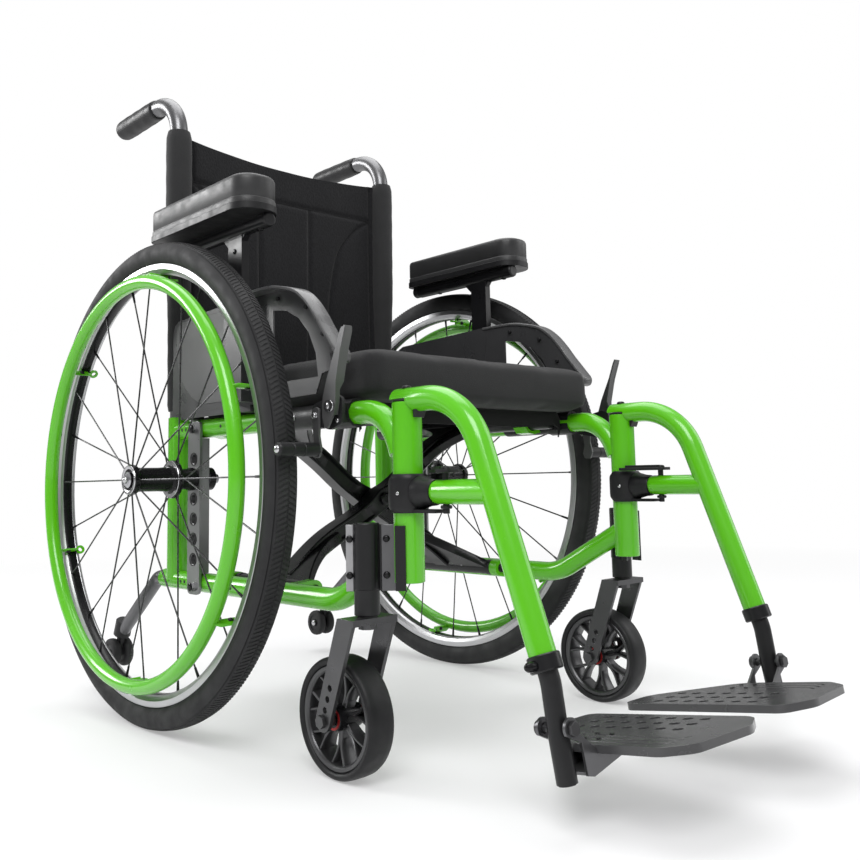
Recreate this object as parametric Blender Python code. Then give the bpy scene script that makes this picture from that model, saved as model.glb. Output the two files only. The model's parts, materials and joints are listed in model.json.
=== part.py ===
# A folding wheelchair with a cross-brace, as an assembly of separate pieces.
# Metres, +Z up. The chair faces -Y, the sitter's right side is -X.
# Sizes are measured from the rear axle: y = 0 there and z = 0 on the floor.
# At the end everything moves so that the origin is the middle of the base.
import math

import bmesh
import bpy
from mathutils import Matrix, Vector

# Rear wheels
WHEEL_R = 0.305
TYRE_WIDTH = 0.035
TYRE_HEIGHT = 0.029
RIM_WIDTH = 0.026
RIM_DEPTH = 0.014
HANDRIM_DROP = 0.0115
HANDRIM_TUBE_R = 0.0092
HANDRIM_OFFSET = 0.029
HANDRIM_TABS = 6
SPOKES_PER_FLANGE = 12
SPOKE_R = 0.0011
SPOKE_LEAN = math.radians(24)
WHEEL_SIDES = 28
AXLE_R = 0.006
HUB_INNER_OFFSET = 0.0365
HUB_OUTER_OFFSET = 0.0305
HUB_R = 0.0165
HUB_FLANGE_R = 0.0245
HUB_CAP_R = 0.0186

# Side frames
FRAME_X = 0.190
WHEEL_X = 0.268
TUBE_R = 0.0127
POST_R = 0.0155
POST_Y = -0.4025
POST_BOTTOM = 0.196
POST_DROP = 0.0015
PIVOT_R = 0.008
RAIL_Z = 0.372
LOWER_Z = 0.169
UPRIGHT_Y = 0.072
UPRIGHT_R = 0.0145
LOWER_REAR_Y = 0.104
RAIL_BEND_Y = -0.375
RAIL_BEND_R = 0.055
LOWER_BEND_Y = -0.290
LOWER_BEND_R = 0.085
LOWER_POST_Z = 0.229

# Axle plate
PLATE_WIDTH = 0.031
PLATE_HOLE_PITCH = 0.0262
PLATE_HOLE_R = 0.0066
PLATE_STRIP = 0.004
PLATE_CHANNEL = 0.0125

# Casters
CASTER_R = 0.0605
CASTER_WIDTH = 0.032
CASTER_TYRE = 0.0085
CASTER_TRAIL = 0.0373
CASTER_SPOKES = 7
CASTER_AXLE_R = 0.004
FORK_TOP = 0.163
CASTER_SIDES = 20
STEM_OFFSET = 0.0307
BARREL_R = 0.0145
BARREL_BOTTOM = 0.1645
HOUSING_BOTTOM = 0.188
HOUSING_TOP = 0.254
STEM_R = 0.0072
FORK_PLATE = 0.0048
FORK_GAP = 0.0083
LEG_WIDTH = 0.026

# Cross-brace
BRACE_X = 0.1635
BRACE_Z = 0.172
BRACE_Y = -0.119
BRACE_FOOT = 0.150
BRACE_ROD_R = 0.0055
BRACE_SLEEVE_R = 0.0105
BRACE_BOLT_R = 0.005
ARM_DEPTH = 0.027
ARM_THICK = 0.017
ARM_GAP = 0.003
SEAT_RAIL_R = 0.0125
SEAT_RAIL_LIFT = 0.004
SEAT_RAIL_FRONT = -0.308
SEAT_RAIL_REAR = 0.046

# Seat and back
SLING_THICK = 0.003
SLING_SAG = 0.006
CUSHION_GAP = 0.0068
CUSHION_FRONT = -0.351
CUSHION_REAR = 0.036
CUSHION_HEIGHT = 0.046
CANE_R = 0.0125
CANE_SOCKET = 0.055
CANE_LEAN = 0.004
CANE_BEND_R = 0.060
HANDLE_Z = 0.863
GRIP_R = 0.0155
GRIP_FRONT = 0.138
GRIP_LENGTH = 0.122
SLEEVE_R = 0.0205
BACK_BOTTOM = 0.400
BACK_TOP = 0.808
BACK_THICK = 0.006
BACK_SAG = 0.006
BACK_BOW = 0.022

# Armrests
POST_BAR_X = 0.2206
POST_BAR_Y = -0.1304
POST_BAR_WIDTH = 0.031
POST_BAR_THICK = 0.0106
PAD_X = 0.2337
PAD_WIDTH = 0.060
PAD_FRONT = -0.206
PAD_REAR = 0.022
PAD_OVER_WHEEL = 0.0115
PAD_HEIGHT = 0.0425
ARM_RAIL_R = 0.0095
PANEL_X = 0.2083
PANEL_THICK = 0.003
PANEL_REAR = 0.054
PANEL_HEIGHT = 0.135
PANEL_OVER_RAIL = 0.0093
FENDER_WIDTH = 0.020
WINDOW_REACH = 0.088
ARMREST_TRAVEL = 0.060

# Brakes
BRAKE_X = 0.240
LEVER_Y = -0.341
LEVER_Z = 0.376
LEVER_TIP = (-0.028, 0.080)
SHOE_Y = -0.311
SHOE_Z = 0.368
SHOE_BAR_Z = 0.332
SHOE_R = 0.0075
SHOE_GAP = 0.0010
BRAKE_PIN_R = 0.0038
CLAMP_REAR = -0.288
CLAMP_FRONT = -0.324

# Footrests
HANGER_Z = 0.3795
HANGER_END = (-0.571, 0.145)
HANGER_LEAN = math.radians(20)
HANGER_BEND_R = 0.075
HANGER_REAR = 0.0125
CROSSBAR_Z = 0.286
CROSSBAR_R = 0.0121
LATCH_PIN_R = 0.0033
SADDLE_BOTTOM = 0.2655
SADDLE_TOP = 0.3035
COLLAR_R = 0.0152
EXTENSION_R = 0.0093
EXTENSION_INSIDE = 0.060
EXTENSION_END = (-0.5925, 0.0435)
EXTENSION_TRAVEL = 0.030
FLIP_PIN_R = 0.004
FLIP_HEAD = 0.0209
FLIP_Y = -0.5834
FLIP_Z = 0.0867
FOOTPLATE_INNER = 0.026
FOOTPLATE_SIDE_GAP = 0.027
FOOTPLATE_REAR = -0.497
FOOTPLATE_FRONT = -0.694
FOOTPLATE_TILT = math.radians(8.5)
FOOTPLATE_TOP = 0.0687
FOOTPLATE_THICK = 0.0075
FOOTPLATE_HOLE_R = 0.0041
CHEEK_IN = 0.0135
CHEEK_OUT = 0.0163

# Anti-tippers
TIP_BEND_Y = 0.128
TIP_WHEEL = (0.250, 0.050)
TIP_WHEEL_R = 0.021
TIP_WHEEL_WIDTH = 0.012
TIP_TUBE_R = 0.0095

# Play between neighbouring pieces
GAP = 0.0003
PLAY = 0.0005
SIDES = {"right": -1, "left": 1}

SEAT_RAIL_Z = RAIL_Z + SEAT_RAIL_LIFT
POST_TOP = HANGER_Z - POST_DROP
ARM_HALF = math.hypot(BRACE_X, (SEAT_RAIL_Z - BRACE_Z) / 2)
BRACE_ANGLE = math.atan2((SEAT_RAIL_Z - BRACE_Z) / 2, BRACE_X)
BRACE_MID_Z = (SEAT_RAIL_Z + BRACE_Z) / 2
RIM_OUTER = WHEEL_R - TYRE_HEIGHT
RIM_INNER = RIM_OUTER - RIM_DEPTH
HANDRIM_R = RIM_INNER - HANDRIM_DROP
PANEL_BOTTOM = RAIL_Z + TUBE_R + PANEL_OVER_RAIL
PANEL_TOP = PANEL_BOTTOM + PANEL_HEIGHT
FOOTPLATE_OUTER = FRAME_X - FOOTPLATE_SIDE_GAP
PAD_BOTTOM = 2 * WHEEL_R + PAD_OVER_WHEEL
PAD_TOP = PAD_BOTTOM + PAD_HEIGHT
STEM_X = FRAME_X + STEM_OFFSET
STEM_Y = POST_Y + STEM_OFFSET
CASTER_Y = STEM_Y + CASTER_TRAIL
ARM_A_Y = BRACE_Y + (ARM_DEPTH + ARM_GAP) / 2
ARM_B_Y = BRACE_Y - (ARM_DEPTH + ARM_GAP) / 2
PLATE_X = FRAME_X + TUBE_R + GAP
CUSHION_WIDTH = 2 * (PANEL_X - PANEL_THICK / 2 - CUSHION_GAP)

COLOURS = {
    "green": ((0.08, 0.42, 0.02), 0.25, 0.3),
    "black": ((0.02, 0.02, 0.022), 0.45, 0.0),
    "charcoal": ((0.06, 0.06, 0.062), 0.5, 0.0),
    "tyre": ((0.05, 0.05, 0.052), 0.75, 0.0),
    "silver": ((0.72, 0.72, 0.74), 0.3, 1.0),
    "anodised": ((0.17, 0.17, 0.18), 0.4, 0.8),
    "grey": ((0.28, 0.28, 0.29), 0.5, 0.0),
    "fabric": ((0.018, 0.018, 0.020), 0.85, 0.0),
}


def material(name):
    found = bpy.data.materials.get(name)
    if found:
        return found
    colour, roughness, metallic = COLOURS[name]
    made = bpy.data.materials.new(name)
    made.use_nodes = True
    shader = made.node_tree.nodes["Principled BSDF"]
    shader.inputs["Base Color"].default_value = (*colour, 1)
    shader.inputs["Roughness"].default_value = roughness
    shader.inputs["Metallic"].default_value = metallic
    return made


def shape(bm, name="shape"):
    """A mesh object from a bmesh, with its faces pointing out."""
    bmesh.ops.recalc_face_normals(bm, faces=bm.faces)
    mesh = bpy.data.meshes.new(name)
    bm.to_mesh(mesh)
    bm.free()
    obj = bpy.data.objects.new(name, mesh)
    bpy.context.scene.collection.objects.link(obj)
    return obj


def rings(loops, closed=False):
    """A solid skinned over rings of points: capped at both ends, or joined end to end."""
    bm = bmesh.new()
    rows = [[bm.verts.new(p) for p in loop] for loop in loops]
    count = len(rows[0])
    pairs = list(zip(rows, rows[1:]))
    if closed:
        pairs.append((rows[-1], rows[0]))
    for a, b in pairs:
        for i in range(count):
            j = (i + 1) % count
            bm.faces.new((a[i], a[j], b[j], b[i]))
    if not closed:
        bm.faces.new(rows[0])
        bm.faces.new(reversed(rows[-1]))
    return shape(bm)


def frames_along(path):
    """A point, a side direction and an up direction for each point of a path, without twist."""
    points = [Vector(p) for p in path]
    tangents = []
    for i in range(len(points)):
        a, b = points[max(i - 1, 0)], points[min(i + 1, len(points) - 1)]
        tangents.append((b - a).normalized())
    side = tangents[0].cross(Vector((0, 0, 1)))
    if side.length < 0.1:
        side = Vector((1, 0, 0))
    side.normalize()
    out = []
    for point, tangent in zip(points, tangents):
        side = (side - tangent * side.dot(tangent)).normalized()
        out.append((point, side, side.cross(tangent)))
    return out


def tube(path, radius, sides=10, up_radius=None):
    """A round or oval bar along a path."""
    tall = up_radius or radius
    loops = []
    for point, side, up in frames_along(path):
        loops.append([
            point + side * radius * math.cos(a) + up * tall * math.sin(a)
            for a in turns(sides)
        ])
    return rings(loops)


def turns(count, start=0.5):
    return [2 * math.pi * (i + start) / count for i in range(count)]


def lathe(profile, centre, axis="X", sides=24, outer=False):
    """Turns (along, radius) points about an axis. With outer=True the flats lie at the radius."""
    grow = 1 / math.cos(math.pi / sides) if outer else 1
    loops = []
    for angle in turns(sides):
        c, s = math.cos(angle) * grow, math.sin(angle) * grow
        ring = []
        for along, radius in profile:
            offset = {"X": (along, radius * c, radius * s), "Z": (radius * c, radius * s, along),
                      "Y": (radius * c, along, radius * s)}[axis]
            ring.append(Vector(centre) + Vector(offset))
        loops.append(ring)
    return rings(loops, closed=True)


def rod(a, b, radius, sides=10, end_radius=None):
    """A straight round bar or cone between two points."""
    a, b = Vector(a), Vector(b)
    axis = (b - a).normalized()
    side = axis.orthogonal().normalized()
    up = axis.cross(side)
    loops = []
    for point, r in ((a, radius), (b, radius if end_radius is None else end_radius)):
        loops.append([point + (side * math.cos(t) + up * math.sin(t)) * r for t in turns(sides)])
    return rings(loops)


def bore(a, b, radius, sides=12):
    """A cutter for a round hole. Its flats lie at the radius, so a round pin turns freely in it."""
    return rod(a, b, radius / math.cos(math.pi / sides), sides)


def block(low, high):
    corners = [(low[0], low[1]), (high[0], low[1]), (high[0], high[1]), (low[0], high[1])]
    return rings([[(x, y, z) for x, y in corners] for z in (low[2], high[2])])


def slab(outline, low, high, across="X"):
    """An outline pushed straight along an axis, from low to high."""
    def at(p, d):
        return {"X": (d, p[0], p[1]), "Y": (p[0], d, p[1]), "Z": (p[0], p[1], d)}[across]
    return rings([[at(p, low) for p in outline], [at(p, high) for p in outline]])


def arc(centre, radius, start, end, steps):
    """Points of an arc in a plane, with its angles in degrees."""
    out = []
    for i in range(steps + 1):
        a = math.radians(start + (end - start) * i / steps)
        out.append((centre[0] + radius * math.cos(a), centre[1] + radius * math.sin(a)))
    return out


def rounded(corners, radii, steps=4):
    """A closed outline with each corner rounded to its radius."""
    out = []
    count = len(corners)
    for i, radius in enumerate(radii):
        p = Vector(corners[i])
        out.extend(bend(Vector(corners[i - 1]), p, Vector(corners[(i + 1) % count]), radius, steps))
    return [tuple(p) for p in out]


def bend(before, corner, after, radius, steps):
    """The arc that rounds one corner, as points."""
    if radius <= 0:
        return [corner]
    a, b = (before - corner).normalized(), (after - corner).normalized()
    half = a.angle(b) / 2
    reach = radius / math.tan(half)
    centre = corner + (a + b).normalized() * (radius / math.sin(half))
    first = corner + a * reach - centre
    last = corner + b * reach - centre
    sweep = first.angle(last)
    out = []
    for i in range(steps + 1):
        t = i / steps
        mix = first * math.sin((1 - t) * sweep) + last * math.sin(t * sweep)
        out.append(centre + mix / math.sin(sweep))
    return out


def bent(corners, radii, steps=6):
    """A path through corner points, each inner one rounded to its radius."""
    points = [Vector(c) for c in corners]
    out = [points[0]]
    for i, radius in enumerate(radii, 1):
        out.extend(bend(points[i - 1], points[i], points[i + 1], radius, steps))
    out.append(points[-1])
    return out


def cut_or_join(target, others, operation):
    for other in others:
        step = target.modifiers.new(operation.lower(), "BOOLEAN")
        step.operation = operation
        step.solver = "EXACT"
        step.object = other
        graph = bpy.context.evaluated_depsgraph_get()
        mesh = bpy.data.meshes.new_from_object(target.evaluated_get(graph))
        target.modifiers.clear()
        old = target.data
        target.data = mesh
        bpy.data.meshes.remove(old)
        bpy.data.objects.remove(other)


def solid(name, colour, shapes, cuts=(), smooth=40):
    """One named piece: shapes joined into one body, then cut."""
    obj = shapes[0]
    cut_or_join(obj, shapes[1:], "UNION")
    cut_or_join(obj, cuts, "DIFFERENCE")
    obj.name = name
    obj.data.name = name
    obj.data.materials.clear()
    obj.data.materials.append(material(colour))
    obj.data.shade_smooth()
    obj.data.set_sharp_from_angle(angle=math.radians(smooth))
    return obj


def joint(name, parent, at):
    """An empty on a joint's axis. What moves about the joint hangs from it."""
    empty = bpy.data.objects.new(name, None)
    bpy.context.scene.collection.objects.link(empty)
    empty.empty_display_size = 0.03
    empty.parent = parent
    base = Vector(parent["at"]) if parent else Vector()
    empty.location = Vector(at) - base
    empty["at"] = tuple(at)
    return empty


def hang(empty, *pieces):
    """Puts each piece's origin on the empty's point without moving its shape."""
    for piece in pieces:
        piece.data.transform(Matrix.Translation(-Vector(empty["at"])))
        piece.parent = empty


def rear_tyre(side, s):
    x, half = s * WHEEL_X, TYRE_WIDTH / 2
    bead = RIM_WIDTH / 2 - 0.001
    inner = RIM_OUTER + GAP
    shoulder = WHEEL_R - 0.004
    belly = RIM_OUTER + TYRE_HEIGHT * 0.45
    profile = [(-bead, inner), (bead, inner), (half, belly), (half - 0.005, shoulder - 0.003),
               (0.006, WHEEL_R),
               (-0.006, WHEEL_R), (-half + 0.005, shoulder - 0.003), (-half, belly)]
    tyre = lathe(profile, (x, 0, WHEEL_R), sides=WHEEL_SIDES, outer=True)
    return solid(f"rear_tyre_{side}", "tyre", [tyre])


def rear_rim(side, s):
    half = RIM_WIDTH / 2
    profile = [(-half, RIM_OUTER), (-half, RIM_OUTER - 0.007), (-half * 0.55, RIM_INNER),
               (half * 0.55, RIM_INNER), (half, RIM_OUTER - 0.007), (half, RIM_OUTER)]
    ring = lathe(profile, (s * WHEEL_X, 0, WHEEL_R), sides=WHEEL_SIDES, outer=True)
    return solid(f"rear_rim_{side}", "silver", [ring])


def handrim(side, s):
    x = WHEEL_X + HANDRIM_OFFSET
    ring = [(HANDRIM_TUBE_R * math.cos(a), HANDRIM_R + HANDRIM_TUBE_R * math.sin(a)) for a in turns(6)]
    shapes = [lathe(ring, (s * x, 0, WHEEL_R), sides=WHEEL_SIDES)]
    top, low = RIM_INNER - GAP, RIM_INNER - 0.0055
    for angle in turns(HANDRIM_TABS, 0.125):
        tab = box(s, (WHEEL_X - 0.006, -0.006, low), (x, 0.006, top))
        tab.data.transform(Matrix.Rotation(angle, 4, "X"))
        tab.data.transform(Matrix.Translation((0, 0, WHEEL_R)))
        shapes.append(tab)
    return solid(f"handrim_{side}", "green", shapes)


def wheel_hub(side, s):
    """The hub with its two flanges and the spokes that it carries."""
    inner, outer = -HUB_INNER_OFFSET, HUB_OUTER_OFFSET
    sides = 12
    hole = (AXLE_R + PLAY) / math.cos(math.pi / sides)
    profile = [(inner, hole), (inner, HUB_R), (inner + 0.004, HUB_FLANGE_R), (inner + 0.008, HUB_FLANGE_R),
               (inner + 0.013, HUB_R), (outer - 0.010, HUB_R - 0.0015), (outer - 0.007, HUB_CAP_R),
               (outer - 0.001, HUB_CAP_R), (outer, HUB_R), (outer, hole)]
    profile = [(s * a, r) for a, r in profile]
    centre = Vector((s * WHEEL_X, 0, WHEEL_R))
    shapes = [lathe(profile, centre, sides=sides)]
    reach = RIM_INNER - GAP
    flanges = ((outer - 0.0045, 0.0, HUB_CAP_R, 0.004, 0),
               (inner + 0.006, 0.5, HUB_FLANGE_R, -0.004, SPOKE_LEAN))
    for along, start, root, tip, lean in flanges:
        for i in range(SPOKES_PER_FLANGE):
            rim_angle = 2 * math.pi * (i + start) / SPOKES_PER_FLANGE
            lean = -lean
            a = hub_point(centre, s * along, root - 0.002, rim_angle + lean)
            b = hub_point(centre, s * tip, reach, rim_angle)
            shapes.append(rod(a, b, SPOKE_R, 3))
    return solid(f"wheel_hub_{side}", "black", shapes)


def hub_point(centre, along, radius, angle):
    return centre + Vector((along, radius * math.cos(angle), radius * math.sin(angle)))


def axle(side, s):
    """The quick-release axle in its receiver, which clamps the axle plate."""
    plate_out = PLATE_X + PLATE_STRIP
    plate_in = PLATE_X - PLATE_CHANNEL
    hub_in = WHEEL_X - HUB_INNER_OFFSET
    outer = WHEEL_X + HUB_OUTER_OFFSET
    profile = [(plate_in - 0.018, 0), (plate_in - 0.018, 0.006), (plate_in - 0.010, 0.0125),
               (plate_in - GAP, 0.0147),
               (plate_in - GAP, AXLE_R), (plate_out + GAP, AXLE_R), (plate_out + GAP, 0.0145),
               (hub_in - PLAY, 0.0115),
               (hub_in - PLAY, AXLE_R), (outer + PLAY, AXLE_R), (outer + PLAY, 0.0150),
               (outer + 0.0035, 0.0115),
               (outer + 0.0035, 0.0045), (outer - 0.012, 0.0045), (outer - 0.012, 0)]
    return solid(f"axle_{side}", "silver", [revolve(profile, s, 10)])


def axle_button(side, s):
    outer = WHEEL_X + HUB_OUTER_OFFSET
    profile = [(outer - 0.0085, 0), (outer - 0.0085, 0.0042), (outer + 0.005, 0.0042),
               (outer + 0.0075, 0.003),
               (outer + 0.0075, 0)]
    return solid(f"axle_button_{side}", "silver", [revolve(profile, s, 10)])


def revolve(profile, s, sides):
    """A solid turned about the rear axle's line, from (distance from the middle, radius) points."""
    bm = bmesh.new()
    verts = [bm.verts.new((s * x, 0, r)) for x, r in profile]
    for a, b in zip(verts, verts[1:]):
        bm.edges.new((a, b))
    bmesh.ops.spin(bm, geom=bm.edges[:] + bm.verts[:], cent=(0, 0, 0), axis=(1, 0, 0), steps=sides,
                   angle=2 * math.pi, use_merge=True)
    bmesh.ops.remove_doubles(bm, verts=bm.verts, dist=1e-6)
    bmesh.ops.translate(bm, verts=bm.verts, vec=(0, 0, WHEEL_R))
    return shape(bm)


def side_frame(side, s):
    x = s * FRAME_X
    post = tube([(x, POST_Y, POST_BOTTOM), (x, POST_Y, POST_TOP)], POST_R, 12)
    rail_front = RAIL_BEND_Y - 0.018
    rail = tube(bent([(x, UPRIGHT_Y, RAIL_Z), (x, RAIL_BEND_Y, RAIL_Z), (x, rail_front, POST_TOP - 0.052)],
                     [RAIL_BEND_R], 4), TUBE_R)
    lower = tube(lower_path(s), TUBE_R)
    upright = tube([(x, UPRIGHT_Y, LOWER_Z), (x, UPRIGHT_Y, RAIL_Z + 0.019)], UPRIGHT_R, 12)
    shapes = [post, rail, lower, upright]
    shapes += hinge_lugs(s)
    shapes += rail_saddles(s)
    cuts = [bore((x, UPRIGHT_Y, RAIL_Z + 0.019 - CANE_SOCKET), (x, UPRIGHT_Y, RAIL_Z + 0.030),
                 CANE_R + GAP, 10),
            bore((x, LOWER_REAR_Y - 0.040, LOWER_Z), (x, LOWER_REAR_Y + 0.01, LOWER_Z),
                 TIP_TUBE_R + PLAY, 10),
            bore((x, POST_Y, POST_TOP - 0.030), (x, POST_Y, POST_TOP + 0.01), PIVOT_R + PLAY)]
    return solid(f"side_frame_{side}", "green", shapes, cuts)


def brace_ends():
    """Front and rear faces of the cross-brace's hinge sleeve."""
    return BRACE_Y - BRACE_FOOT / 2, BRACE_Y + BRACE_FOOT / 2


def hinge_lugs(s):
    """Two lugs on the lower tube and the rod between them, on which a brace arm turns."""
    front, rear = brace_ends()
    out = [rod((s * BRACE_X, front - 0.010, BRACE_Z), (s * BRACE_X, rear + 0.010, BRACE_Z), BRACE_ROD_R, 6)]
    for low in (front - 0.014, rear + PLAY):
        outline = [(s * FRAME_X, LOWER_Z - 0.0115), (s * FRAME_X, LOWER_Z + 0.0125)]
        outline += [(s * (BRACE_X + p), BRACE_Z + q) for p, q in arc((0, 0), 0.0115, 90, 270, 4)]
        out.append(slab(outline, low, low + 0.0135, "Y"))
    return out


def rail_saddles(s):
    """Two half-round cradles on the seat tube, in which the seat rail rests when the chair is open."""
    inner = arc((BRACE_X, SEAT_RAIL_Z), (SEAT_RAIL_R + PLAY) / math.cos(math.pi / 10), 210, 330, 4)
    outer = [(FRAME_X - 0.004, inner[-1][1]), (FRAME_X - 0.004, RAIL_Z - 0.010),
             (BRACE_X + 0.004, SEAT_RAIL_Z - 0.018), (BRACE_X - 0.009, SEAT_RAIL_Z - 0.0165),
             (BRACE_X - 0.0155, SEAT_RAIL_Z - 0.0085)]
    outline = [(s * a, b) for a, b in inner + outer]
    middles = (SEAT_RAIL_FRONT + 0.045, SEAT_RAIL_REAR - 0.060)
    return [slab(outline, y - 0.011, y + 0.011, "Y") for y in middles]


def axle_plate(side, s):
    """The strip with the axle holes, backed by a channel that fits between the frame's tubes."""
    low, high = LOWER_Z - 0.014, RAIL_Z + 0.009
    half = PLATE_WIDTH / 2
    outer = PLATE_X + PLATE_STRIP
    corners = [(-half, low), (half, low), (half, high), (-half, high)]
    strip = slab(rounded(corners, [0.007] * 4, 2), s * PLATE_X, s * outer)
    bottom, top = LOWER_Z + TUBE_R + 2 * GAP, RAIL_Z - TUBE_R - 2 * GAP
    inner = PLATE_X - PLATE_CHANNEL
    web = block((min(s * inner, s * (PLATE_X + 0.001)), -half + 0.003, bottom),
                (max(s * inner, s * (PLATE_X + 0.001)), half - 0.003, top))
    bolts = [rod((s * (outer - 0.001), 0, z), (s * (outer + 0.004), 0, z), 0.006, 5)
             for z in (low + 0.010, high - 0.010)]
    cuts = []
    for step in (1, -1, -2, -3, -4):
        z = WHEEL_R + step * PLATE_HOLE_PITCH
        cuts.append(rod((s * (inner - 0.01), 0, z), (s * (outer + 0.01), 0, z), PLATE_HOLE_R, 8))
    cuts.append(bore((s * (inner - 0.01), 0, WHEEL_R), (s * (outer + 0.01), 0, WHEEL_R), AXLE_R + GAP, 10))
    return solid(f"axle_plate_{side}", "silver", [strip, web, *bolts], cuts)


def housing_at(s, u, v, z):
    """A point by its distance from the caster stem toward the frame post, and square to that."""
    d, n = Vector((-s, -1, 0)).normalized(), Vector((s, -1, 0)).normalized()
    return Vector((s * STEM_X, STEM_Y, z)) + d * u + n * v


def housing_slab(s, u0, u1, v0, v1, z0, z1):
    corners = [(u0, v0), (u1, v0), (u1, v1), (u0, v1)]
    return rings([[housing_at(s, u, v, z) for u, v in corners] for z in (z0, z1)])


def caster_housing(side, s):
    """The stem's barrel with the flanges that clamp it to the frame's post."""
    x, z0, z1 = s * STEM_X, HOUSING_BOTTOM, HOUSING_TOP
    apart = STEM_OFFSET * math.sqrt(2)
    shapes = [
        tube([(x, STEM_Y, BARREL_BOTTOM), (x, STEM_Y, z1 + 0.002)], BARREL_R, 12),
        housing_slab(s, -0.0235, apart - 0.012, -0.004, 0.003, z0, z1),
        housing_slab(s, apart - 0.019, apart - 0.003, -0.002, POST_R + 0.003, z0 + 0.002, z1 - 0.002),
    ]
    shapes.append(rod(housing_at(s, 0.0215, 0.002, z1 - 0.014), housing_at(s, 0.0215, 0.0065, z1 - 0.014),
                      0.0035, 6))
    post = bore((s * FRAME_X, POST_Y, z0 - 0.02), (s * FRAME_X, POST_Y, z1 + 0.02), POST_R + GAP, 16)
    clear = tube(lower_path(s), TUBE_R + 2 * GAP)
    hole = bore((x, STEM_Y, BARREL_BOTTOM - 0.01), (x, STEM_Y, z1 - 0.006), STEM_R + PLAY, 10)
    return solid(f"caster_housing_{side}", "charcoal", shapes, [post, clear, hole])


def fork_leg(s, centre):
    """One flat leg, slanting back from under the stem to the wheel's axle."""
    half = LEG_WIDTH / 2
    lean = math.atan2(CASTER_TRAIL, FORK_TOP - CASTER_R)
    end = arc((CASTER_Y, CASTER_R), half * 0.85, math.degrees(lean), math.degrees(lean) - 180, 6)
    outline = [(STEM_Y - half, FORK_TOP - 0.001), (STEM_Y + half, FORK_TOP - 0.001)] + end
    x0, x1 = s * STEM_X + centre - FORK_PLATE / 2, s * STEM_X + centre + FORK_PLATE / 2
    leg = slab(outline, x0, x1)
    holes = []
    for step in range(4):
        y = CASTER_Y - step * 0.012 * math.sin(lean)
        z = CASTER_R + step * 0.012 * math.cos(lean)
        holes.append(bore((x0 - 0.01, y, z), (x1 + 0.01, y, z),
                          CASTER_AXLE_R + GAP if step == 0 else 0.003, 8 if step == 0 else 6))
    return leg, holes


def caster_fork(side, s):
    x, half = s * STEM_X, CASTER_WIDTH / 2 + FORK_GAP + FORK_PLATE
    corners = [(x - half, STEM_Y - LEG_WIDTH / 2), (x + half, STEM_Y - LEG_WIDTH / 2),
               (x + half, STEM_Y + LEG_WIDTH / 2), (x - half, STEM_Y + LEG_WIDTH / 2)]
    bridge = slab(corners, FORK_TOP - 0.0065, FORK_TOP, "Z")
    shapes, cuts = [bridge], []
    for centre in (half - FORK_PLATE / 2, FORK_PLATE / 2 - half):
        leg, holes = fork_leg(s, centre)
        shapes.append(leg)
        cuts += holes
    shapes.append(tube([(x, STEM_Y, FORK_TOP - 0.012), (x, STEM_Y, FORK_TOP - 0.003)], 0.0095, 8))
    shapes.append(tube([(x, STEM_Y, FORK_TOP - 0.003), (x, STEM_Y, BARREL_BOTTOM - GAP)], 0.0105, 12))
    shapes.append(tube([(x, STEM_Y, FORK_TOP - 0.003), (x, STEM_Y, HOUSING_TOP - 0.010)], STEM_R, 8))
    return solid(f"caster_fork_{side}", "anodised", shapes, cuts)


def caster_wheel(side, s):
    """Rim, hub and forked spokes."""
    centre = Vector((s * STEM_X, CASTER_Y, CASTER_R))
    outer, half = CASTER_R - CASTER_TYRE, CASTER_WIDTH / 2 - 0.003
    inner = outer - 0.0065
    rim = [(-half, outer), (-half + 0.002, inner), (half - 0.002, inner), (half, outer)]
    hub_half, hole = CASTER_WIDTH / 2, (CASTER_AXLE_R + PLAY) / math.cos(math.pi / 12)
    hub = [(-hub_half, hole), (-hub_half, 0.0125), (hub_half, 0.0125), (hub_half, hole)]
    shapes = [lathe(rim, centre, sides=CASTER_SIDES, outer=True), lathe(hub, centre, sides=12)]
    outline = [(0.010, -0.0028), (outer * 0.55, -0.0028), (inner + 0.0018, -0.0110),
               (inner + 0.0028, -0.0055),
               (outer * 0.70, 0), (inner + 0.0028, 0.0055), (inner + 0.0018, 0.0110),
               (outer * 0.55, 0.0028), (0.010, 0.0028)]
    for angle in turns(CASTER_SPOKES):
        c, d = math.cos(angle), math.sin(angle)
        fork = [(centre.y + r * c - w * d, centre.z + r * d + w * c) for r, w in outline]
        shapes.append(slab(fork, centre.x - 0.007, centre.x + 0.007))
    return solid(f"caster_wheel_{side}", "silver", shapes)


def caster_tyre(side, s):
    half, inner = CASTER_WIDTH / 2, CASTER_R - CASTER_TYRE + GAP
    profile = [(-half + 0.002, inner), (half - 0.002, inner), (half, CASTER_R - 0.005),
               (half - 0.007, CASTER_R),
               (-half + 0.007, CASTER_R), (-half, CASTER_R - 0.005)]
    ring = lathe(profile, (s * STEM_X, CASTER_Y, CASTER_R), sides=CASTER_SIDES, outer=True)
    return solid(f"caster_tyre_{side}", "tyre", [ring])


def caster_axle(side, s):
    """A bolt through both legs, with a spacer on each side of the wheel."""
    leg_in = CASTER_WIDTH / 2 + FORK_GAP
    leg_out = leg_in + FORK_PLATE
    hub_half = CASTER_WIDTH / 2
    x, y, z = s * STEM_X, CASTER_Y, CASTER_R
    shapes = [rod((x - leg_out - 0.002, y, z), (x + leg_out + 0.002, y, z), CASTER_AXLE_R, 8)]
    for way in (-1, 1):
        shapes.append(rod((x + way * (hub_half + PLAY), y, z), (x + way * (leg_in - GAP), y, z), 0.0065, 8))
        shapes.append(rod((x + way * (leg_out + GAP), y, z), (x + way * (leg_out + 0.0042), y, z), 0.0068, 6))
    return solid(f"caster_axle_{side}", "silver", shapes)


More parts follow.
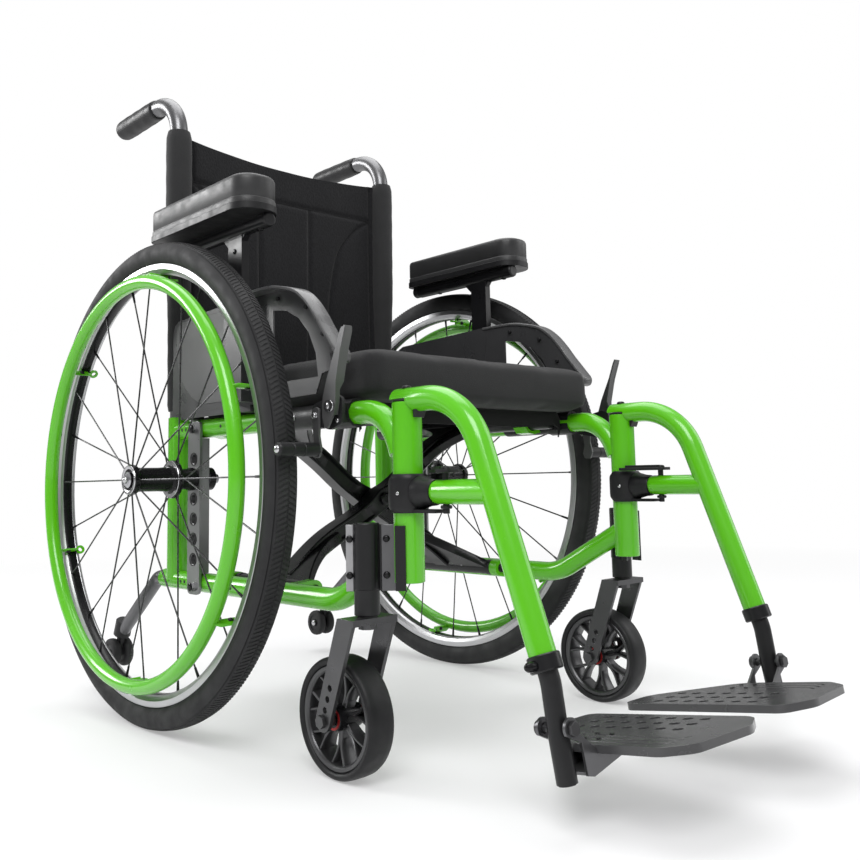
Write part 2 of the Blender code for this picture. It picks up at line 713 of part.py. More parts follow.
def cane_path(s):
    """The back post's centre line: up from its socket, then bent back into the push handle."""
    x, lean = s * FRAME_X, s * CANE_LEAN
    foot = RAIL_Z + 0.019 - CANE_SOCKET + 0.001
    return bent([(x, UPRIGHT_Y, foot), (x, UPRIGHT_Y, BACK_BOTTOM), (x + lean, UPRIGHT_Y + 0.002, HANDLE_Z),
                 (x + lean, GRIP_FRONT + GRIP_LENGTH - 0.012, HANDLE_Z)], [0, CANE_BEND_R], 5)


def back_cane(side, s):
    return solid(f"back_cane_{side}", "silver", [tube(cane_path(s), CANE_R)])


def push_grip(side, s):
    """A hand grip with finger swells and a collar at each end."""
    x, length = s * (FRAME_X + CANE_LEAN), GRIP_LENGTH
    shape_of = [(0, 0.0), (0.009, 0.001), (0.012, -0.002), (0.040, 0.0005), (0.066, -0.001),
                (0.104, 0.002), (0.114, 0.002), (length, -0.005)]
    loops = []
    for along, more in shape_of:
        loops.append([(x + (GRIP_R + more) * math.cos(a), GRIP_FRONT + along,
                       HANDLE_Z + (GRIP_R + more) * math.sin(a)) for a in turns(10)])
    hole = bore((x, GRIP_FRONT - 0.01, HANDLE_Z), (x, GRIP_FRONT + length - 0.011, HANDLE_Z),
                CANE_R + GAP, 10)
    return solid(f"push_grip_{side}", "black", [rings(loops)], [hole])


def armrest_post(side, s):
    """The flat bar of the armrest and the tube along its top that carries the pad."""
    half, thick = POST_BAR_WIDTH / 2, POST_BAR_THICK / 2
    x, rail_z = POST_BAR_X, PAD_BOTTOM - GAP - ARM_RAIL_R
    bar = box(s, (x - thick, POST_BAR_Y - half, PANEL_BOTTOM + 0.012), (x + thick, POST_BAR_Y + half, rail_z))
    gusset = slab([(POST_BAR_Y - half - 0.012, rail_z), (POST_BAR_Y + half + 0.022, rail_z),
                   (POST_BAR_Y + half, rail_z - 0.022),
                   (POST_BAR_Y - half, rail_z - 0.016)], s * (x - 0.0042), s * (x + 0.0042))
    rail = rings([[(s * x + r * math.cos(a), y, rail_z + r * math.sin(a)) for a in turns(12)]
                  for y, r in ((PAD_REAR - 0.016, ARM_RAIL_R), (PAD_FRONT + 0.008, ARM_RAIL_R),
                               (PAD_FRONT + 0.006, 0.0075))])
    return solid(f"armrest_post_{side}", "black", [bar, gusset, rail])


def arm_pad(side, s):
    """A long pad with a rounded nose, thicker over its base band."""
    loops = []
    length = PAD_REAR - PAD_FRONT
    for along, inset, drop in ((0, 0.008, 0.008), (0.003, 0.002, 0.003), (0.010, 0, 0.001),
                               (length * 0.5, 0, 0),
                               (length - 0.036, 0, 0), (length - 0.022, 0.002, 0.001),
                               (length - 0.010, 0.007, 0.003),
                               (length - 0.003, 0.014, 0.006), (length, 0.019, 0.011)):
        w = PAD_WIDTH / 2 - inset
        loops.append(pad_ring(s * PAD_X, PAD_REAR - along, w, PAD_TOP - drop, PAD_BOTTOM + inset * 0.2))
    return solid(f"arm_pad_{side}", "charcoal", [rings(loops)])


def pad_ring(x, y, w, top, low):
    """A pad's cross-section: flat base, a step above the base band, and a domed top."""
    band = low + 0.011
    half = [(w - 0.004, low), (w - 0.002, band - 0.001), (w, band + 0.002), (w, top - 0.014),
            (w - 0.004, top - 0.005),
            (w - 0.012, top - 0.001)]
    points = [(x + a, y, z) for a, z in half] + [(x, y, top)] + [(x - a, y, z) for a, z in reversed(half)]
    return points


def side_panel(side, s):
    """The side guard, the socket of the armrest's post and the mudguard in front of it."""
    inner, outer = PANEL_X - PANEL_THICK / 2, PANEL_X + PANEL_THICK / 2
    half, thick = POST_BAR_WIDTH / 2, POST_BAR_THICK / 2
    front = POST_BAR_Y - half - 0.004
    corners = [(PANEL_REAR, PANEL_BOTTOM), (PANEL_REAR, PANEL_TOP - 0.008), (front, PANEL_TOP),
               (front, PANEL_BOTTOM)]
    guard = slab(rounded(corners, [0.006, 0.016, 0, 0], 2), s * inner, s * outer)
    socket = box(s, (inner + 0.001, POST_BAR_Y - half - 0.0045, PANEL_BOTTOM + 0.002),
                 (POST_BAR_X + thick + 0.0032, POST_BAR_Y + half + 0.0045, PANEL_TOP - 0.002))
    slot = box(s, (POST_BAR_X - thick - PLAY, POST_BAR_Y - half - PLAY, PANEL_BOTTOM + 0.010),
               (POST_BAR_X + thick + PLAY, POST_BAR_Y + half + PLAY, PANEL_TOP + 0.02))
    outline, opening = mudguard_web()
    web = slab(outline, s * (inner + 0.0004), s * (outer - 0.0004))
    window = slab(opening, s * (inner - 0.01), s * (outer + 0.01))
    flange = slab(mudguard_flange(), s * (inner - 0.0008), s * (inner - 0.0008 + FENDER_WIDTH))
    feet = [box(s, (FRAME_X - 0.004, y - 0.012, RAIL_Z + TUBE_R + GAP),
                (PANEL_X, y + 0.012, RAIL_Z + TUBE_R + 0.0065))
            for y in (0.022, POST_BAR_Y)]
    drop = box(s, (inner + 0.0006, POST_BAR_Y - 0.010, RAIL_Z + TUBE_R + 0.001),
               (outer - 0.0003, 0.032, PANEL_BOTTOM + 0.006))
    return solid(f"side_panel_{side}", "grey", [guard, socket, web, flange, *feet, drop], [slot, window])


def mudguard_line():
    """The mudguard's outer line, from the armrest socket forward and down round the tyre."""
    start = POST_BAR_Y - POST_BAR_WIDTH / 2
    bow = ((-0.200, 0.0005), (-0.2285, 0.005), (-0.256, 0.013), (-0.277, 0.0275), (-0.294, 0.046),
           (-0.306, 0.062), (-0.331, 0.092))
    return [(start, PANEL_TOP)] + [(y, PANEL_TOP - drop) for y, drop in bow]


def inside(line, by):
    """The mudguard's line drawn in toward the wheel."""
    out = []
    for i, p in enumerate(line):
        a, b = Vector(line[max(i - 1, 0)]), Vector(line[min(i + 1, len(line) - 1)])
        t = (b - a).normalized()
        out.append((p[0] - t.y * by, p[1] + t.x * by))
    return out


def mudguard_flange():
    line = mudguard_line()
    return line + inside(line, 0.0032)[::-1]


def mudguard_web():
    """The flat web between the mudguard's rim and the frame's seat tube, and the opening in it."""
    line = inside(mudguard_line(), 0.0015)
    tip, rear = line[-1], line[0][0] + 0.004
    outer = line + [(tip[0] + 0.005, tip[1] - 0.011), (tip[0] + 0.045, PANEL_BOTTOM + 0.024),
                    (tip[0] + 0.056, PANEL_BOTTOM + 0.002), (rear, PANEL_BOTTOM + 0.0005)]
    outer[0] = (rear, outer[0][1])
    corner = (line[1][0] + 0.010, PANEL_BOTTOM + 0.021)
    window = [(corner[0] + WINDOW_REACH * a, corner[1] + (PANEL_HEIGHT - 0.047) * b)
              for a, b in arc((0, 0), 1, 90, 180, 5)]
    return outer, [corner] + window


def lower_path(s):
    """The centre line of the frame's lower tube."""
    x = s * FRAME_X
    return bent([(x, LOWER_REAR_Y, LOWER_Z), (x, LOWER_BEND_Y, LOWER_Z), (x, POST_Y + 0.004, LOWER_POST_Z)],
                [LOWER_BEND_R], 3)


def brake_clamp(side, s):
    """The clamp on the seat tube and the plate with the two pins on which the brake turns."""
    x, grip = FRAME_X, TUBE_R + 0.0035
    plate_in, plate_out = BRAKE_X - 0.0085, BRAKE_X - 0.0045
    ring = rod((s * x, CLAMP_FRONT, RAIL_Z), (s * x, CLAMP_REAR, RAIL_Z), grip, 12)
    root = box(s, (x + 0.006, CLAMP_FRONT + 0.001, RAIL_Z - 0.011),
               (BRAKE_X - 0.0175, CLAMP_FRONT + 0.021, RAIL_Z + 0.010))
    notch = (BRAKE_X - 0.0138, CLAMP_FRONT + 0.0015)
    arm = slab([(s * (BRAKE_X - 0.0195), CLAMP_FRONT - 0.009), (s * (plate_out - 0.001), CLAMP_FRONT - 0.009),
                (s * (plate_out - 0.001), notch[1]), (s * notch[0], notch[1]),
                (s * notch[0], CLAMP_FRONT + 0.004),
                (s * (BRAKE_X - 0.0195), CLAMP_FRONT + 0.004)], RAIL_Z - 0.0095, RAIL_Z + 0.0085, "Z")
    corners = [(LEVER_Y - 0.012, LEVER_Z - 0.018), (LEVER_Y + 0.008, LEVER_Z - 0.024),
               (SHOE_Y + 0.010, SHOE_Z - 0.010),
               (SHOE_Y + 0.009, SHOE_Z + 0.012), (LEVER_Y - 0.002, LEVER_Z + 0.013),
               (LEVER_Y - 0.012, LEVER_Z + 0.008)]
    plate = slab(rounded(corners, [0.004] * 6, 2), s * plate_in, s * plate_out)
    shapes = [ring, root, arm, plate]
    for y, z, a, b, radius in ((LEVER_Y, LEVER_Z, plate_out - 0.001, BRAKE_X + 0.0032, BRAKE_PIN_R),
                               (LEVER_Y, LEVER_Z, BRAKE_X + 0.0029, BRAKE_X + 0.0056, BRAKE_PIN_R + 0.0025),
                               (SHOE_Y, SHOE_Z, plate_in + 0.001, plate_in - 0.0051, BRAKE_PIN_R),
                               (SHOE_Y, SHOE_Z, plate_in - 0.0048, plate_in - 0.0070, BRAKE_PIN_R + 0.002)):
        shapes.append(rod((s * a, y, z), (s * b, y, z), radius, 8))
    hole = bore((s * x, CLAMP_FRONT - 0.01, RAIL_Z), (s * x, CLAMP_REAR + 0.01, RAIL_Z), TUBE_R + GAP, 10)
    open_side = box(s, (x - 0.03, CLAMP_FRONT - 0.01, RAIL_Z - 0.03),
                    (x - TUBE_R - GAP, CLAMP_REAR + 0.01, RAIL_Z + 0.03))
    return solid(f"brake_clamp_{side}", "black", shapes, [hole, open_side])


def box(s, low, high):
    """A block given for the left side, mirrored to side s."""
    xs = sorted((s * low[0], s * high[0]))
    return block((xs[0], low[1], low[2]), (xs[1], high[1], high[2]))


def brake_lever(side, s):
    """A flat lever with its short tail, on the outer face of the brake's plate."""
    y, z = LEVER_Y, LEVER_Z
    tip = (y + LEVER_TIP[0], z + LEVER_TIP[1])
    corners = [(y + 0.013, z - 0.020), (y + 0.011, z + 0.004), (tip[0] + 0.0085, tip[1] - 0.004),
               (tip[0] + 0.003, tip[1] + 0.004), (tip[0] - 0.006, tip[1] + 0.001), (y - 0.012, z + 0.010),
               (y - 0.009, z - 0.006), (y + 0.002, z - 0.022)]
    lever = slab(rounded(corners, [0.004, 0.02, 0.004, 0.003, 0.004, 0.02, 0.008, 0.004], 2),
                 s * (BRAKE_X - 0.0042), s * (BRAKE_X + 0.0026))
    grip = slab([(tip[0] + 0.010, tip[1] - 0.034), (tip[0] + 0.010, tip[1] - 0.006),
                 (tip[0] + 0.003, tip[1] + 0.002),
                 (tip[0] - 0.005, tip[1] + 0.001), (tip[0] + 0.003, tip[1] - 0.034)], s * (BRAKE_X - 0.004),
                s * (BRAKE_X + 0.0105))
    hole = bore((s * (BRAKE_X - 0.02), y, z), (s * (BRAKE_X + 0.02), y, z), BRAKE_PIN_R + PLAY, 8)
    return solid(f"brake_lever_{side}", "anodised", [lever, grip], [hole])


def brake_shoe(side, s):
    """The arm and the round bar that presses on the tyre."""
    bar_y = -math.sqrt((WHEEL_R + SHOE_R + SHOE_GAP) ** 2 - (SHOE_BAR_Z - WHEEL_R) ** 2) - 0.0005
    x0, x1 = BRAKE_X - 0.0130, BRAKE_X - 0.0090
    low = arc((bar_y, SHOE_BAR_Z), 0.0075, 200, 340, 4)
    top = arc((SHOE_Y, SHOE_Z), 0.0075, 0, 180, 6)
    arm = slab(low + top, s * x0, s * x1)
    bar = rod((s * (x0 + 0.001), bar_y, SHOE_BAR_Z),
              (s * (WHEEL_X + TYRE_WIDTH / 2 + 0.004), bar_y, SHOE_BAR_Z),
              SHOE_R, 10)
    hole = bore((s * (x0 - 0.01), SHOE_Y, SHOE_Z), (s * (x1 + 0.01), SHOE_Y, SHOE_Z), BRAKE_PIN_R + PLAY, 8)
    return solid(f"brake_shoe_{side}", "black", [arm, bar], [hole])


def hanger_point(z):
    """A point on the straight lower part of the hanger's centre line, by its height."""
    return HANGER_END[0] + (z - HANGER_END[1]) * math.tan(HANGER_LEAN)


def hanger(side, s):
    """The swing-away legrest tube with its pivot pin, cross-bar, saddle round the post and collar."""
    x = s * FRAME_X
    path = bent([(x, POST_Y + HANGER_REAR, HANGER_Z), (x, hanger_point(HANGER_Z), HANGER_Z),
                 (x, *HANGER_END)], [HANGER_BEND_R], 6)
    shapes = [tube(path, TUBE_R, 12)]
    shapes.append(rod((x, POST_Y - 0.042, CROSSBAR_Z), (x, hanger_point(CROSSBAR_Z), CROSSBAR_Z),
                      CROSSBAR_R, 10))
    shapes.append(tube([(x, POST_Y, SADDLE_BOTTOM), (x, POST_Y, SADDLE_TOP)], POST_R + 0.006, 14))
    shapes.append(block((x - 0.0105, POST_Y - 0.0435, CROSSBAR_Z - 0.013),
                        (x + 0.0105, POST_Y, CROSSBAR_Z + 0.013)))
    low, high = HANGER_END[1] - 0.018, HANGER_END[1] + 0.001
    shapes.append(rod((x, hanger_point(low), low), (x, hanger_point(high), high), COLLAR_R, 12))
    lug = (low + high) / 2
    shapes.append(rod((x + s * 0.008, hanger_point(lug), lug), (x + s * 0.0275, hanger_point(lug), lug),
                      0.0055, 8))
    post = bore((x, POST_Y, SADDLE_BOTTOM - 0.02), (x, POST_Y, SADDLE_TOP + 0.01), POST_R + PLAY, 14)
    behind = block((x - 0.03, POST_Y + 0.004, SADDLE_BOTTOM - 0.02),
                   (x + 0.03, POST_Y + 0.04, SADDLE_TOP + 0.01))
    notch = tube([(x, POST_Y, HANGER_Z - 0.03), (x, POST_Y, HANGER_Z + 0.004)], POST_R + 0.003, 12)
    drop = (HANGER_END[1] - 0.03, HANGER_END[1] + EXTENSION_INSIDE + 0.002)
    hollow = bore((x, hanger_point(drop[0]), drop[0]), (x, hanger_point(drop[1]), drop[1]),
                  EXTENSION_R + PLAY, 10)
    pin = latch_pin(s)
    hole = bore((pin.x, pin.y, CROSSBAR_Z - 0.03), (pin.x, pin.y, CROSSBAR_Z + 0.03), LATCH_PIN_R + PLAY, 8)
    obj = solid(f"hanger_{side}", "green", shapes, [post, behind, notch, hollow, hole])
    liner = tube([(x, POST_Y, POST_TOP + PLAY), (x, POST_Y, HANGER_Z + 0.006)], POST_R - 0.0002, 10)
    pivot = tube([(x, POST_Y, POST_TOP - 0.026), (x, POST_Y, HANGER_Z + 0.002)], PIVOT_R)
    cap = tube([(x, POST_Y, HANGER_Z + 0.010), (x, POST_Y, HANGER_Z + TUBE_R + 0.0035)], 0.005, 8)
    return solid(f"hanger_{side}", "green", [obj, liner, pivot, cap])


def latch_pin(s):
    return Vector((s * FRAME_X, POST_Y - 0.0545, CROSSBAR_Z))


def hanger_latch(side, s):
    """The release lever over the cross-bar, its pin through the bar, and the hook plate underneath."""
    pin = latch_pin(s)
    top, low = SADDLE_TOP + 0.0008, CROSSBAR_Z - CROSSBAR_R - 0.0062
    ends = [(0.009, -0.010), (0.010, 0.006), (0.0, 0.010), (-0.0145, 0.040), (-0.0245, 0.046),
            (-0.0265, 0.038),
            (-0.010, -0.010)]
    lever = slab(rounded([(pin.x + s * a, pin.y + b) for a, b in ends], [0.004] * 7, 2), top,
                 top + 0.0032, "Z")
    hook = [(0.009, -0.010), (0.0145, 0.008), (0.0115, 0.010), (0.006, 0.006), (-0.009, 0.006),
            (-0.009, -0.010)]
    plate = slab([(pin.x + s * a, pin.y + b) for a, b in hook], low, low + 0.0032, "Z")
    shank = tube([(pin.x, pin.y, low - 0.003), (pin.x, pin.y, top + 0.006)], LATCH_PIN_R, 8)
    thumb = box(s, (abs(pin.x) - 0.0262, pin.y + 0.036, top + 0.001),
                (abs(pin.x) - 0.0232, pin.y + 0.044, top + 0.009))
    return solid(f"hanger_latch_{side}", "black", [lever, plate, shank, thumb])


def footrest_tube(side, s):
    """The leg that slides in the hanger, and the pin on which the footplate turns."""
    x = s * FRAME_X
    top = HANGER_END[1] + EXTENSION_INSIDE - 0.0005
    path = bent([(x, hanger_point(top), top), (x, hanger_point(0.124), 0.124),
                 (x, FLIP_Y - 0.001, FLIP_Z - 0.002),
                 (x, *EXTENSION_END)], [0.05, 0.06], 2)
    shapes = [tube(path, EXTENSION_R)]
    shapes.append(rod((x, *flip_point(FLIP_HEAD - 0.002)), (x, *flip_point(0.002 - FLIP_HEAD)),
                      FLIP_PIN_R, 8))
    for way in (-1, 1):
        shapes.append(rod((x, *flip_point(way * (CHEEK_OUT + GAP))), (x, *flip_point(way * FLIP_HEAD)),
                          0.0066, 6))
    return solid(f"footrest_tube_{side}", "charcoal", shapes)


def flip_point(along):
    """A (y, z) point on the footplate's hinge axis, which is parallel to the plate's slope."""
    return FLIP_Y - along * math.cos(FOOTPLATE_TILT), FLIP_Z + along * math.sin(FOOTPLATE_TILT)


def footplate(side, s):
    """The plate with its holes and grooves, and the bracket by which it hangs from the leg."""
    inner, outer, rear, front = FOOTPLATE_INNER, FOOTPLATE_OUTER, FOOTPLATE_REAR, FOOTPLATE_FRONT
    corners = [(inner + 0.003, rear), (outer - 0.085, rear), (outer - 0.003, rear - 0.070),
               (outer, front + 0.029),
               (outer - 0.020, front + 0.006), (inner + 0.036, front), (inner, front + 0.016)]
    outline = rounded([(s * a, b) for a, b in corners], [0.008, 0.030, 0.030, 0.012, 0.014, 0.020, 0.008], 2)
    shapes, cuts = [slab(outline, -FOOTPLATE_THICK, 0, "Z")], []
    for row in range(3):
        for column in range(7):
            y = rear - 0.0342 - column * 0.0179
            x = s * (inner + 0.0185 + row * 0.0232)
            cuts.append(rod((x, y, -0.03), (x, y, 0.02), FOOTPLATE_HOLE_R, 5))
    for i in range(3):
        x = outer - 0.012 - i * 0.012
        cuts.append(box(s, (x - 0.0015, front + 0.034, -0.0014), (x + 0.0015, rear - 0.088, 0.01)))
    obj = solid(f"footplate_{side}", "black", shapes, cuts)
    tilt = Matrix.Translation((0, FLIP_Y, FOOTPLATE_TOP)) @ Matrix.Rotation(-FOOTPLATE_TILT, 4, "X")
    obj.data.transform(tilt @ Matrix.Translation((0, -FLIP_Y, 0)))
    cut_or_join(obj, footplate_bracket(s), "UNION")
    hole = bore((s * FRAME_X, *flip_point(0.04)), (s * FRAME_X, *flip_point(-0.04)), FLIP_PIN_R + PLAY, 8)
    return solid(f"footplate_{side}", "black", [obj], [hole])


def footplate_bracket(s):
    """Two cheeks that hang from the hinge pin before and behind the leg, and the trough that joins them."""
    eye = arc((FRAME_X, FLIP_Z), 0.0092, -30, 210, 5)
    low, tip = FOOTPLATE_TOP - 0.024, FOOTPLATE_OUTER - 0.060
    out = []
    for along in (CHEEK_IN, -CHEEK_OUT):
        outline = eye + [(FOOTPLATE_OUTER - 0.003, FOOTPLATE_TOP - 0.004), (tip, FOOTPLATE_TOP - 0.003),
                         (tip, FOOTPLATE_TOP - 0.010), (FRAME_X - 0.021, low),
                         (FRAME_X - 0.0125, low + 0.002),
                         (FRAME_X - 0.0105, FLIP_Z - 0.013)]
        out.append(skewed(s, outline, along, along + CHEEK_OUT - CHEEK_IN))
    floor = [(tip + 0.002, FOOTPLATE_TOP - 0.0098), (FRAME_X - 0.0205, low + 0.0003),
             (FRAME_X - 0.0205, low + 0.0030),
             (tip + 0.002, FOOTPLATE_TOP - 0.0066)]
    out.append(skewed(s, floor, -CHEEK_OUT + 0.001, CHEEK_OUT - 0.001))
    return out


def skewed(s, outline, start, end):
    """An (x, z) outline at the hinge, laid square to its axis and pushed along it from start to end."""
    c, d = math.cos(FOOTPLATE_TILT), math.sin(FOOTPLATE_TILT)
    loops = []
    for y, z in (flip_point(start), flip_point(end)):
        loops.append([(s * a, y + (b - FLIP_Z) * d, z + (b - FLIP_Z) * c) for a, b in outline])
    return rings(loops)


def anti_tip_tube(side, s):
    """The rear leg against tipping back: it turns in the frame's lower tube."""
    x = s * FRAME_X
    y1, z1 = TIP_WHEEL[0] - 0.012, TIP_WHEEL[1] + 0.030
    path = bent([(x, LOWER_REAR_Y - 0.037, LOWER_Z), (x, TIP_BEND_Y - 0.004, LOWER_Z), (x, y1, z1)],
                [0.022], 3)
    leg = tube(path, TIP_TUBE_R)
    ahead = (Vector((x, *TIP_WHEEL)) - Vector((x, y1, z1))).normalized()
    cap = rod(Vector((x, y1, z1)) - ahead * 0.016, Vector((x, y1, z1)) + ahead * 0.004,
              TIP_TUBE_R + 0.003, 10)
    fin = [(y1 - 0.006, z1 + 0.002), (y1 + 0.006, z1 + 0.006)] + arc(TIP_WHEEL, 0.0075, 30, -150, 6)
    prong = slab(fin, x - 0.0028, x + 0.0028)
    hole = bore((x - 0.02, *TIP_WHEEL), (x + 0.02, *TIP_WHEEL), 0.003 + PLAY, 8)
    return solid(f"anti_tip_tube_{side}", "silver", [leg, cap, prong], [hole])


def anti_tip_wheels(side, s):
    x, (y, z) = s * FRAME_X, TIP_WHEEL
    shapes = [rod((x - 0.013, y, z), (x + 0.013, y, z), 0.003, 8)]
    for way in (-1, 1):
        x0, x1 = x + way * 0.0036, x + way * (0.0036 + TIP_WHEEL_WIDTH)
        shapes.append(rings([[(px, y + r * math.cos(a), z + r * math.sin(a)) for a in turns(12)]
                             for px, r in ((x0, TIP_WHEEL_R - 0.003), (x0 + way * 0.003, TIP_WHEEL_R),
                                           (x1 - way * 0.003, TIP_WHEEL_R), (x1, TIP_WHEEL_R - 0.003))]))
    return solid(f"anti_tip_wheels_{side}", "black", shapes)


def arm_point(s, along, off):
    """A point in a brace arm's own plane: along it from the middle, and square to it."""
    c, d = math.cos(BRACE_ANGLE), math.sin(BRACE_ANGLE)
    return s * (along * c - off * d), BRACE_MID_Z + along * d + off * c


def arm_part(s, outline, y0, y1):
    points = [arm_point(s, a, o) for a, o in outline]
    return rings([[(x, y, z) for x, z in points] for y in (y0, y1)])


def foot_web(s, root, tip, mid_y, half, y0, y1):
    """The foot of an arm, flaring from the arm's width to the length of its sleeve."""
    loops = []
    for along, thick, low, high in ((root, ARM_THICK * 0.5, mid_y - half, mid_y + half),
                                    ((root + tip) / 2, ARM_THICK * 0.42, (mid_y - half) * 0.45 + y0 * 0.55,
                                     (mid_y + half) * 0.45 + y1 * 0.55),
                                    (tip, ARM_THICK * 0.35, y0, y1)):
        ring = []
        for off, y in ((-thick, low), (-thick, high), (thick, high), (thick, low)):
            x, z = arm_point(s, along, off)
            ring.append((x, y, z))
        loops.append(ring)
    return rings(loops)


def cross_arm(letter, s, mid_y):
    """One arm of the folding brace, from its hinge sleeve on one side to the seat rail on the other."""
    half = ARM_DEPTH / 2
    y0, y1 = brace_ends()
    reach = ARM_HALF
    inner = reach * 0.45
    outline = [(-reach * 0.72, -ARM_THICK * 0.42), (-0.040, -ARM_THICK * 0.5), (0, -ARM_THICK * 0.72),
               (0.040, -ARM_THICK * 0.5),
               (reach * 0.72, -ARM_THICK * 0.42), (reach * 0.72, ARM_THICK * 0.42), (0.040, ARM_THICK * 0.5),
               (0, ARM_THICK * 0.72), (-0.040, ARM_THICK * 0.5), (-reach * 0.72, ARM_THICK * 0.42)]
    shapes = [arm_part(s, outline, mid_y - half, mid_y + half)]
    shapes.append(foot_web(s, -inner, -reach + 0.004, mid_y, half - 0.0004, y0 + 0.001, y1 - 0.001))
    shapes.append(foot_web(s, inner, reach - 0.004, mid_y, half - 0.0004, y0 + 0.001, y1 - 0.001))
    shapes.append(rod((-s * BRACE_X, y0, BRACE_Z), (-s * BRACE_X, y1, BRACE_Z), BRACE_SLEEVE_R))
    rail = [(SEAT_RAIL_FRONT, 0.008), (SEAT_RAIL_FRONT + 0.003, SEAT_RAIL_R),
            (SEAT_RAIL_REAR - 0.003, SEAT_RAIL_R),
            (SEAT_RAIL_REAR, 0.008)]
    shapes.append(rings([[(s * BRACE_X + r * math.cos(a), y, SEAT_RAIL_Z + r * math.sin(a))
                          for a in turns(10)]
                         for y, r in rail]))
    hinge = bore((-s * BRACE_X, y0 - 0.01, BRACE_Z), (-s * BRACE_X, y1 + 0.01, BRACE_Z),
                 BRACE_ROD_R + PLAY, 8)
    pivot = bore((0, mid_y - 0.03, BRACE_MID_Z), (0, mid_y + 0.03, BRACE_MID_Z), BRACE_BOLT_R + PLAY, 10)
    return solid(f"cross_arm_{letter}", "charcoal", shapes, [hinge, pivot])


def brace_bolt():
    """The bolt on which the two arms turn, with its head and nut."""
    z = BRACE_MID_Z
    front, rear = ARM_B_Y - ARM_DEPTH / 2 - GAP, ARM_A_Y + ARM_DEPTH / 2 + GAP
    shapes = [rod((0, front - 0.003, z), (0, rear + 0.003, z), BRACE_BOLT_R, 8)]
    shapes.append(rings([[(0.009 * k * math.cos(a), y, z + 0.009 * k * math.sin(a)) for a in turns(8)]
                         for y, k in ((front, 1), (front - 0.003, 1), (front - 0.005, 0.7))]))
    shapes.append(rod((0, rear, z), (0, rear + 0.006, z), 0.0085, 6))
    shapes.append(rod((0, ARM_B_Y + ARM_DEPTH / 2 + GAP, z), (0, ARM_A_Y - ARM_DEPTH / 2 - GAP, z), 0.010, 8))
    return solid("brace_bolt", "silver", shapes)


def seat_sling():
    """The cloth stretched between the two seat rails."""
    top = SEAT_RAIL_Z + SEAT_RAIL_R + GAP
    flat, count = BRACE_X - 0.009, 8
    line = [(-BRACE_X - 0.008, top)]
    for i in range(count + 1):
        share = 2 * i / count - 1
        line.append((flat * share, top - SLING_SAG * (1 - share ** 4)))
    line.append((BRACE_X + 0.008, top))
    outline = line + [(x, z + SLING_THICK) for x, z in reversed(line)]
    cloth = slab(outline, SEAT_RAIL_FRONT + 0.004, SEAT_RAIL_REAR - 0.004, "Y")
    return solid("seat_sling", "fabric", [cloth])


def cushion_ring(inset, z, lift):
    half = CUSHION_WIDTH / 2 - inset
    front, rear = CUSHION_FRONT + inset, CUSHION_REAR - inset
    corner = max(0.034 - inset * 0.5, 0.006)
    outline = rounded([(-half, front), (half, front), (half, rear), (-half, rear)], [corner] * 4, 3)
    out = []
    for x, y in outline:
        dip = lift * (1 - abs(x) / (CUSHION_WIDTH / 2)) if lift else 0
        out.append((x, y, z + dip))
    return out


def cushion():
    """The seat cushion: a drawn-in base, bulging sides, a seam and a crowned top."""
    base = SEAT_RAIL_Z + SEAT_RAIL_R + GAP + SLING_THICK + GAP
    top = base + CUSHION_HEIGHT
    loops = [cushion_ring(i, z, 0) for i, z in (
        (0.010, base), (0.003, base + 0.004), (0, base + 0.018), (0.0012, base + 0.029),
        (0.0034, base + 0.0325),
        (0.0015, base + 0.036), (0.007, top - 0.003), (0.040, top + 0.002), (0.120, top + 0.007))]
    return solid("cushion", "fabric", [rings(loops)], smooth=60)


def back_y(x):
    """Where the back's cloth lies, front to rear, between the posts."""
    share = abs(x) / (FRAME_X + CANE_LEAN)
    return UPRIGHT_Y + 0.002 + BACK_BOW * (1 - share ** 2)


def back_upholstery():
    """The back's cloth: a sleeve round each back post and the bowed sheet between them."""
    count, half = 8, BACK_THICK / 2
    loops = []
    for i in range(count + 1):
        share = 2 * i / count - 1
        x = share * (FRAME_X - 0.012)
        y, sag = back_y(x), BACK_SAG * (1 - share ** 4)
        loops.append([(x, y - half, BACK_BOTTOM + 0.004), (x, y + half, BACK_BOTTOM + 0.004),
                      (x, y + half, BACK_TOP - 0.004 - sag), (x, y, BACK_TOP - sag),
                      (x, y - half, BACK_TOP - 0.004 - sag)])
    shapes, cuts = [rings(loops)], []
    for s in (-1, 1):
        profile = []
        for z, r in ((BACK_BOTTOM, SLEEVE_R - 0.0047), (PANEL_TOP, SLEEVE_R - 0.0047),
                     (PANEL_TOP + 0.09, SLEEVE_R - 0.001),
                     (BACK_TOP - 0.004, SLEEVE_R), (BACK_TOP, SLEEVE_R - 0.003)):
            x = s * (FRAME_X + CANE_LEAN * (z - BACK_BOTTOM) / (HANDLE_Z - BACK_BOTTOM))
            profile.append([(x + r * math.cos(a), UPRIGHT_Y + 0.001 + r * math.sin(a), z) for a in turns(12)])
        shapes.append(rings(profile))
        cuts.append(tube(cane_path(s), CANE_R + 2 * GAP))
    return solid("back_upholstery", "fabric", shapes, cuts, smooth=60)


def clear_scene():
    for obj in list(bpy.data.objects):
        bpy.data.objects.remove(obj, do_unlink=True)


